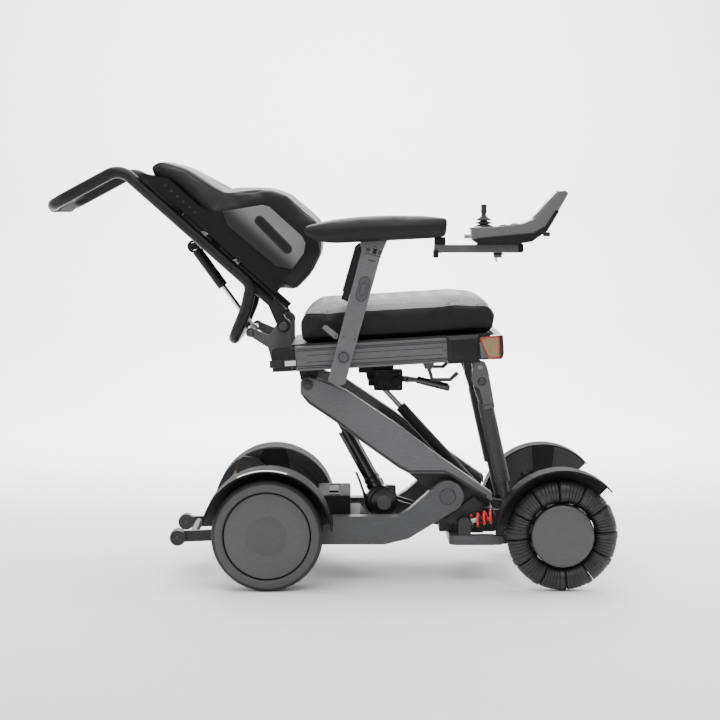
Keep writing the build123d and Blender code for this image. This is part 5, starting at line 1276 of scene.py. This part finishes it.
# ---------------------------------------------------------------- seat
class SeatDetails:
    """Rail faces, lamps, control box trim, catches and grips."""

    def build(self) -> None:
        """Makes every seat detail."""
        self._rail_faces()
        self._lamps()
        self._box()

    def _rail_faces(self) -> None:
        """Flat grey face strips with grooves, and the bolts along them."""
        mould = Mould()
        mould.slab([(-58, -17), (266, -17), (266, 16), (-58, 16)], -227.2, -225.6, 0.8, 0, SEAT)
        for h in (-9.5, 6.5):
            mould.slab([(-56, h), (264, h), (264, h + 1.4), (-56, h + 1.4)], -227.5, -226.8, 0.0,
                       1, SEAT)
        for h in (-23.5, 21.5):
            mould.slab([(-80, h), (314, h), (314, h + 1.6), (-80, h + 1.6)], -226.4, -225.6, 0.0,
                       1, SEAT)
        mould.mirrored().piece("rail_faces", "seat", "rail_aluminium", [RAIL, RECESS_SHADE])
        bolts = Mould()
        for x, z in ((-92, 526), (-134, 526)):
            bolts.bolt((x, -226.4, z), (0, -1, 0), 2.6, 1.2, 0)
        bolts.lathe([(0, 0.8), (9.5, 0.8), (10, 0), (0, 0)], (-193, -190, 607), (0, -1, 0), 1, 36)
        bolts.bolt((-193, -190.8, 607), (0, -1, 0), 7.0, 2.4, 0)
        bolts.lathe([(0, 2.0), (9, 1.8), (11, 0), (0, 0)], (-113, -190, 622.5), (0, -1, 0), 0, 36)
        bolts.mirrored().piece("seat_screws", "seat", "pin_steel", [DARK_STEEL, RECESS_SHADE])

    def _lamps(self) -> None:
        """Black bezels at the rail's front ends with tinted side windows."""
        mould = Mould()
        mould.slab([(351, -27), (402, -29), (408, -24), (409.5, 22), (404, 28.5), (352, 26)],
                   -227.6, -194.2, 2.2, 0, SEAT)
        mould.slab([(355, -23), (369, -23), (356, 15), (353, 15)], -228.6, -226.8, 0.4, 4, SEAT)
        mould.slab([(354, 22), (357, 26), (396, 27.4), (401.5, 22), (400.5, -23), (394, -27),
                    (371, -25)],
                   -228.6, -226.8, 0.7, 2, SEAT)
        mould.slab([(358, 18.5), (361, 21.5), (394, 23.5), (398, 19), (397, -20), (391, -23),
                    (373.5, -21)],
                   -230.0, -228.0, 0.8, 1, SEAT)
        mould.mirrored().piece("corner_lamps", "seat", "lamp_amber",
                               [GLOSS_BLACK, AMBER, RED_LENS, RECESS_SHADE, RAIL], ["side_lamps"])
        covers = Mould()
        self._peak(covers, [(286, -24), (342, -24), (342, 24), (286, 24)], -235.8, (324, -2),
                   -240.6)
        for s, h in ((-132, -9), (-96, -9)):
            covers.slab([(s - 14, h - 9), (s + 14, h - 9), (s + 14, h + 9), (s - 14, h + 9)],
                        -227.2, -225.4, 1.2, 1, SEAT)
        covers.slab([(-110, -15), (-84, -15), (-84, -3), (-110, -3)], -227.9, -226.8, 0.5, 2, SEAT)
        covers.mirrored().piece("rail_cover_details", "seat", "black_plastic",
                                [SATIN_BLACK, RECESS_SHADE, REFLECTOR_AND_HIGHLIGHT])

    @staticmethod
    def _peak(mould: Mould, outline: Outline, base: float, tip: tuple[float, float],
              top: float) -> None:
        """A low pyramid on a flat outline of the seat's side, its tip at Y top."""
        part = bmesh.new()
        ring = [part.verts.new((s, base, h)) for s, h in outline]
        point = part.verts.new((tip[0], top, tip[1]))
        part.faces.new(ring)
        for first, second in zip(ring, ring[1:] + ring[:1]):
            part.faces.new((first, second, point))
        mould.absorb(part, 0, SEAT)

    def _box(self) -> None:
        """Lid seam, screws, vents and plug of the box under the seat; the lever's grip."""
        mould = Mould()
        mould.slab([(106, 468), (169, 468), (169, 508), (106, 508)], -123.2, -121.6, 0.8, 0)
        for index in range(5):
            mould.block((116 + index * 6, -123.4, 480), (2.4, 0.8, 14), 0.3, 1)
        for x, z in ((110, 472), (165, 472), (110, 504), (165, 504)):
            mould.bolt((x, -123.2, z), (0, -1, 0), 1.8, 0.9, 2)
        mould.lathe([(0, 3), (6, 3), (7.5, 1.5), (8, 0), (0, 0)], (156, -123, 490), (0, -1, 0), 0,
                    32)
        mould.block((97, -103, 484), (16, 20, 22), 2.5, 0)
        mould.piece("box_trim", "seat", "black_plastic", [BLACK, RECESS_SHADE, DARK_STEEL])
        grip = Mould()
        grip.rod((222, -113.5, 483.5), (287, -113.5, 467.5), 7.4, 0, 2.2, 28)
        for index in range(5):
            spot = Vector((233, -113.5, 480.8)) + Vector((65, 0, -16)) * 0.17 * index
            grip.lathe([(0, 0), (8.1, 0), (8.1, 2.6), (0, 2.6)], spot, (65, 0, -16), 0, 28)
        grip.piece("lever_grip", "release_lever", "black_plastic", [FOAM])


# ---------------------------------------------------------------- back
@dataclass(frozen=True)
class PaintedShadeTrim(Finish):
    """Grey side panel with painted shade: its colour falls to black towards the back tubes."""

    dark: Colour = (0.010, 0.010, 0.011)
    start_mm: float = 108.0
    end_mm: float = 156.0

    def paint(self, graph: Graph) -> None:
        """Painted shade: a slow fall to black in front of the hinge line, under a fine grain."""
        here = graph.place()
        reach = graph.node("ShaderNodeVectorMath", {"operation": "DOT_PRODUCT"},
                           {0: here, 1: (0.6639, 0.0, 0.7478)}, 1)
        offset = 0.6639 * 0.113 - 0.7478 * 0.6225
        shade_ramp = graph.node("ShaderNodeMapRange", {"interpolation_type": "SMOOTHSTEP"},
                          {0: reach + offset, 1: self.start_mm * MM, 2: self.end_mm * MM, 3: 0.0,
                           4: 1.0})
        grain = graph.noise(here, 0.6, 3.0)
        cloud = graph.noise(here, 60.0, 3.0)
        light = graph.tint(self.colour, 0.9 + 0.2 * cloud)
        graph.surface(Base_Color=graph.mix(shade_ramp, self.dark, light),
                      Roughness=self.roughness + 0.1 * (cloud - 0.5) + 0.08 * (grain - 0.5),
                      Normal=graph.bump(grain, 0.03), Specular_IOR_Level=0.35)


# Back side trims, with painted shade towards the hinge line.
SHADED_TRIM = PaintedShadeTrim("back_trim_painted_shade", (0.150, 0.151, 0.155), 0.46)


class BackDetails:
    """Slots and holes of the shell's sides, its rear ribs, and the grip."""

    def build(self) -> None:
        """Makes every detail of the back."""
        mould = Mould()
        mould.slab(stadium(162.5, 147.5, 117, 23, 4), -198.2, -197.0, 0.3, 0, BACK)
        mould.slab(stadium(162.5, 147.5, 110, 17, 4), -198.5, -198.0, 0.3, 1, BACK)
        for index in range(6):
            mould.slab(stadium(336 + 19 * index, 65, 6.2, 6.0, 0), -195.5, -194.4, 0.1, 0, BACK)
        mould.mirrored().piece("shell_insets", "backrest", "black_plastic", [RECESS_SHADE, BLACK])
        rear = Mould()
        for s, width in ((112, 120), (150, 128), (188, 134), (226, 138), (264, 140), (302, 138),
                         (340, 132)):
            rear.block((s, 0, 45.2), (16, 2 * width - 24, 2.2), 1.0, 0, BACK)
        for s in (90, 450):
            for y in (-120, 0, 120):
                rear.bolt(BACK @ Vector((s, y, 46)), (-0.6639, 0, -0.7478), 5.0, 2.6, 1)
        rear.piece("shell_ribs", "backrest", "black_plastic", [BLACK, DARK_STEEL])
        grip = Mould()
        grip.rod((-665.5, -118, 911), (-665.5, 118, 911), 16.4, 0, 2.0, 36)
        for y in (-117, 117):
            grip.rod((-665.5, y - 3, 911), (-665.5, y + 3, 911), 17.2, 0, 1.0, 36)
        for index in range(11):
            y = -100 + 20 * index
            grip.lathe([(0, -3.2), (16.8, -3.2), (17.0, 0), (16.8, 3.2), (0, 3.2)],
                       (-665.5, y, 911), (0, 1, 0), 0, 36)
        grip.piece("push_grip", "backrest", "black_plastic", [FOAM])


# ---------------------------------------------------------------- armrests
class ArmrestDetails:
    """Catch plates, ovals, screws and the small levers of both posts."""

    outer: float = -246.0

    def build(self) -> None:
        """Makes both posts' details."""
        for side, sign in SIDES.items():
            mould = self._post()
            if sign > 0:
                mould.flipped()
            mould.piece(f"post_details_{side}", f"armrest_{side}", "frame_grey",
                        [RECESS_SHADE, DARK_STEEL, FRAME_GREY, BLACK, TRIM_GREY])

    def _post(self) -> Mould:
        """The right post's details."""
        y = self.outer
        mould = Mould()
        mould.slab(stadium(76, 714, 61, 27, 75), y - 0.6, y + 0.4, 0.2, 0)
        mould.slab(stadium(76, 714, 58, 24, 75), y - 1.2, y - 0.2, 0.4, 2)
        mould.slab(stadium(76, 714, 32, 15, 75), y - 1.5, y - 0.8, 0.1, 0)
        mould.slab(stadium(76, 714, 29.5, 12.5, 75), y - 2.0, y - 1.0, 0.4, 2)
        for shift in (-21, 21):
            mould.bolt((76 + 0.26 * shift, y - 1.0, 714 + 0.966 * shift), (0, -1, 0), 2.0, 0.8, 1)
        mould.slab([(79, 798.9), (122, 787.4), (122, 788.8), (79, 800.3)], y - 0.4, y + 0.4, 0.0, 0)
        mould.slab(stadium(96, 780.4, 17, 2.2, -14), y - 0.4, y + 0.4, 0.0, 0)
        for x, z in ((88, 806), (116, 799)):
            mould.lathe([(0, 0.4), (4.6, 0.4), (4.8, 0), (0, 0)], (x, y, z), (0, -1, 0), 0, 24)
            mould.bolt((x, y - 0.3, z), (0, -1, 0), 3.2, 1.2, 1)
        mould.slab([(98, 797.5), (106, 795.5), (110, 813), (102, 815)], y - 1.6, y + 0.4, 0.8, 3)
        mould.block((105, y - 1.8, 811), (6, 1.2, 4), 0.4, 4)
        mould.lathe([(0, 0.4), (12.6, 0.4), (12.8, 0), (0, 0)], (30, -249.4, 553), (0, -1, 0), 0,
                    40)
        mould.lathe([(0, 1.8), (7, 1.6), (10.2, 0.8), (10.8, 0), (0, 0)], (30, -249.6, 553),
                    (0, -1, 0), 2, 40)
        for x, z in ((30, 602), (56, 594)):
            mould.bolt((x, y, z), (0, -1, 0), 2.4, 1.2, 1)
        mould.slab([(57, 806), (68, 815), (76, 812), (40, 684), (24, 690)], -240, -231, 1.2, 3)
        mould.slab([(-21, 621), (-16, 628), (-9, 627), (18, 606), (16, 596), (9, 595)],
                   -230, -228.3, 0.7, 4)
        mould.bolt((10, -230, 602), (0, -1, 0), 2.6, 1.0, 1)
        return mould


# ---------------------------------------------------------------- joystick
class ControlDetails:
    """Swing bar trim, controller shell, display, gaiter, stick and plug."""

    y: float = -250.0
    stick_x: float = 359.0

    def build(self) -> None:
        """Makes every control detail."""
        self._bar()
        self._case()
        self._stick()

    def _bar(self) -> None:
        """Dark end caps, pin, clamp flange and T-knob."""
        mould = Mould()
        mould.slab([(240.4, 787.4), (253, 787.8), (253, 807), (240.4, 806.4)], -265, -235, 3.4, 0)
        mould.slab([(439, 800), (451.6, 801), (451.6, 821.2), (439, 820.6)], -265, -235, 3.4, 0)
        mould.block((275, self.y, 811.5), (26, 18, 4), 1.2, 0)
        mould.lathe([(0, 0), (12, 0), (13, 1), (13, 3), (0, 3)], (393, self.y, 795), (0, 0, 1), 0,
                    32)
        mould.rod((388, self.y, 796), (388, self.y, 782), 2.2, 1, 0.3, 16)
        mould.rod((388, self.y - 11, 781), (388, self.y + 11, 781), 2.4, 1, 1.0, 16)
        mould.piece("swing_bar_trim", "joystick_arm", "frame_grey", [BLACK, STEEL])
        pin = Mould()
        pin.lathe([(0, 0), (3, 0), (3, 8), (5.4, 10), (5.8, 14), (5.2, 18), (3.2, 20), (3.2, 28),
                   (0, 28)],
                  (252, self.y, 806.5), (0, 0, 1), 0, 28)
        pin.piece("swing_pin", "armrest_right", "pin_steel", [DARK_STEEL])

    def _case(self) -> None:
        """Lower shell band, display, buttons, plug and rear bracket."""
        mould = Mould()
        mould.slab([(328.5, 832), (345, 820.2), (435, 820.2), (469.6, 825.6), (505.6, 851),
                    (533, 897),
                    (524, 902), (498, 861), (471, 846), (341, 834)], -282.5, -217.5, 2.4, 0)
        mould.slab([(341, 833), (471, 845.2), (498.6, 860.4), (497.6, 861.8), (470.6, 846.8),
                    (341, 834.6)],
                   -283.0, -217.0, 0.2, 1)
        mould.slab([(474, 882.5), (531, 944), (529.2, 945.6), (472.2, 884.2)], -279, -221, 0.6, 2)
        mould.slab([(476.6, 887.4), (527, 941.6), (526, 942.6), (475.6, 888.4)], -275, -225, 0.3, 3)
        for index in range(4):
            mould.slab([(489 + 5 * index, 903 + 5.4 * index),
                        (492 + 5 * index, 906.2 + 5.4 * index),
                        (491.4 + 5 * index, 906.8 + 5.4 * index),
                        (488.4 + 5 * index, 903.6 + 5.4 * index)],
                       -262, -262 + 8 + 4 * index, 0.0, 2)
        lean = (-0.11, 0, 0.994)
        for x, y in ((404, -264), (404, -236), (430, -264), (430, -236)):
            z = 861 + (x - 385) * 0.111
            mould.lathe([(0, 0.4), (8.4, 0.4), (8.6, 0), (0, 0)], (x, y, z), lean, 1, 28)
            mould.lathe([(0, 2.0), (5, 2.2), (6.8, 1.8), (7.2, 0), (0, 0)], (x, y, z), lean, 4, 28)
        mould.block((506, self.y, 843), (15, 26, 10), 1.6, 4)
        ribs = [(0, 0), (4.6, 0)]
        for index in range(4):
            ribs += [(5.4, 0.6 + 3 * index), (5.4, 2.0 + 3 * index), (4.4, 2.4 + 3 * index)]
        ribs += [(4.4, 17), (0, 17)]
        mould.lathe(ribs, (313, self.y, 838), (1, 0, 0), 5, 28)
        mould.lathe([(0, 5), (9, 4.6), (15, 3.4), (20, 1.4), (22.6, 0.2), (22.8, -1), (0, -1)],
                    (self.stick_x, self.y, 861.5), (0, 0, 1), 4, 40)
        mould.piece("controller_trim", "joystick_arm", "black_plastic",
                    [BLACK, RECESS_SHADE, MARK_WHITE, GLASS, FOAM, STEEL])

    def _stick(self) -> None:
        """Folded gaiter and waisted knob."""
        profile = [(0, 866), (9, 866), (18.8, 868), (19.6, 869), (19.0, 870), (9, 873.6),
                   (8.2, 874.6),
                   (18.0, 876.0), (18.6, 877.2), (14, 879.4), (9, 882.6), (6.2, 886), (5.0, 889),
                   (5.6, 891.5), (6.9, 894.5), (7.3, 898), (6.2, 902), (6.0, 904.4), (6.9, 908),
                   (7.0, 910.4), (6.0, 912.2), (3.0, 913), (0, 913)]
        mould = Mould()
        mould.lathe(profile, (self.stick_x, self.y, 0), (0, 0, 1), 0, 40)
        mould.rod((self.stick_x, self.y, 848), (self.stick_x, self.y, 868), 4.0, 0, 0.4, 20)
        mould.piece("stick_knob", "stick", "black_plastic", [FOAM], ["joystick_stick"])


# ---------------------------------------------------------------- plain carried pieces
@dataclass(frozen=True)
class Carried:
    """A CAD piece whose shape is right: its edges are rounded and it gets a finish."""

    node: str
    body: str
    slot: str
    finish: Finish
    bevel: float = 1.2
    segments: int = 2

    def build(self) -> None:
        """Makes the rounded piece in the CAD piece's place."""
        mould = Mould().node(self.node, self.bevel, 0, self.segments)
        mould.piece(self.node + "_body", self.body, self.slot, [self.finish], [self.node])


def carried_pieces() -> list[Carried]:
    """Every carried piece, with its body, slot and finish."""
    rows: list[tuple[str, str, str, Finish, float]] = [
        ("rear_axles", "chassis", "dark_metal", DARK_STEEL, 0.6),
        ("rear_fenders", "chassis", "black_plastic", FENDER, 1.2),
        ("rear_beams", "chassis", "frame_grey", FRAME_GREY, 3.0),
        ("anti_tip_frame", "chassis", "frame_grey", DARK_COAT, 1.6),
        ("battery_pack", "chassis", "black_plastic", BLACK, 3.0),
        ("front_chassis", "chassis", "dark_metal", DARK_COAT, 1.6),
        ("front_subframe", "chassis", "frame_grey", FRAME_GREY, 2.4),
        ("spring_brackets", "chassis", "frame_grey", DARK_COAT, 0.8),
        ("chassis_pins", "chassis", "pin_steel", DARK_STEEL, 0.5),
        ("lift_arms", "lift", "frame_grey", ARM_GREY, 3.2),
        ("arm_gussets", "lift", "dark_metal", DARK_COAT, 1.0),
        ("arm_cross_tube", "lift", "dark_metal", DARK_COAT, 0.8),
        ("lift_actuator_body", "lift_motor", "black_plastic", GLOSS_BLACK, 1.0),
        ("lift_actuator_rod", "lift_rod", "dark_metal", DARK_STEEL, 0.8),
        ("tilt_actuator_tube", "tilt_tube", "dark_metal", SATIN_BLACK, 1.2),
        ("tilt_actuator_rod", "tilt_rod", "chrome_rod", STEEL, 0.6),
        ("strut_uppers", "strut_upper", "dark_metal", DARK_COAT, 1.2),
        ("strut_lowers", "strut_lower", "dark_metal", DARK_COAT, 1.0),
        ("seat_rails", "seat", "rail_aluminium", RAIL, 1.4),
        ("seat_pan", "seat", "rail_aluminium", DARK_COAT, 1.0),
        ("seat_pins", "seat", "pin_steel", DARK_STEEL, 0.5),
        ("seat_brackets", "seat", "rail_aluminium", FRAME_GREY, 1.0),
        ("rail_trims", "seat", "black_plastic", SATIN_BLACK, 2.2),
        ("control_box", "seat", "black_plastic", BLACK, 2.0),
        ("release_lever", "release_lever", "black_plastic", DARK_STEEL, 0.8),
        ("latch_handle", "latch_handle", "dark_metal", DARK_COAT, 1.4),
        ("back_frame", "backrest", "dark_metal", SATIN_BLACK, 0.8),
        ("push_handle", "backrest", "dark_metal", SATIN_BLACK, 0.5),
        ("back_shell", "backrest", "black_plastic", SHELL, 1.6),
        ("back_side_trims", "backrest", "trim_grey", SHADED_TRIM, 1.0),
        ("recline_rod", "recline_rod", "chrome_rod", CHROME, 0.4),
        ("recline_tube", "recline_tube", "dark_metal", SATIN_BLACK, 0.8),
        ("swing_pivot", "armrest_right", "black_plastic", BLACK, 1.0),
        ("joystick_arm", "joystick_arm", "frame_grey", FRAME_GREY, 1.2),
        ("controller_case", "joystick_arm", "black_plastic", CASE_GREY, 2.0),
        ("stick_gimbal", "stick_gimbal", "black_plastic", BLACK, 0.4),
    ]
    for side in SIDES:
        rows += [
            (f"swing_arm_{side}", f"suspension_{side}", "dark_metal", DARK_COAT, 1.4),
            (f"front_fender_{side}", f"suspension_{side}", "black_plastic", FENDER, 1.2),
            (f"armrest_post_{side}", f"armrest_{side}", "frame_grey", ARM_GREY, 1.4),
        ]
    return [Carried(*row) for row in rows]


def main() -> None:
    """Builds the studio and every piece in order."""
    logging.basicConfig(level=logging.INFO, format="%(name)s: %(message)s")
    Studio().build()
    RearWheel().build()
    OmniWheel().build()
    AntiTipWheel().build()
    for assembly in (Fenders(), DriveBase(), LiftDetails(), SeatDetails(), BackDetails(),
                     ArmrestDetails(), ControlDetails()):
        assembly.build()
    for row in carried_pieces():
        row.build()
    Cushions().build()


if __name__ == "__main__":
    main()
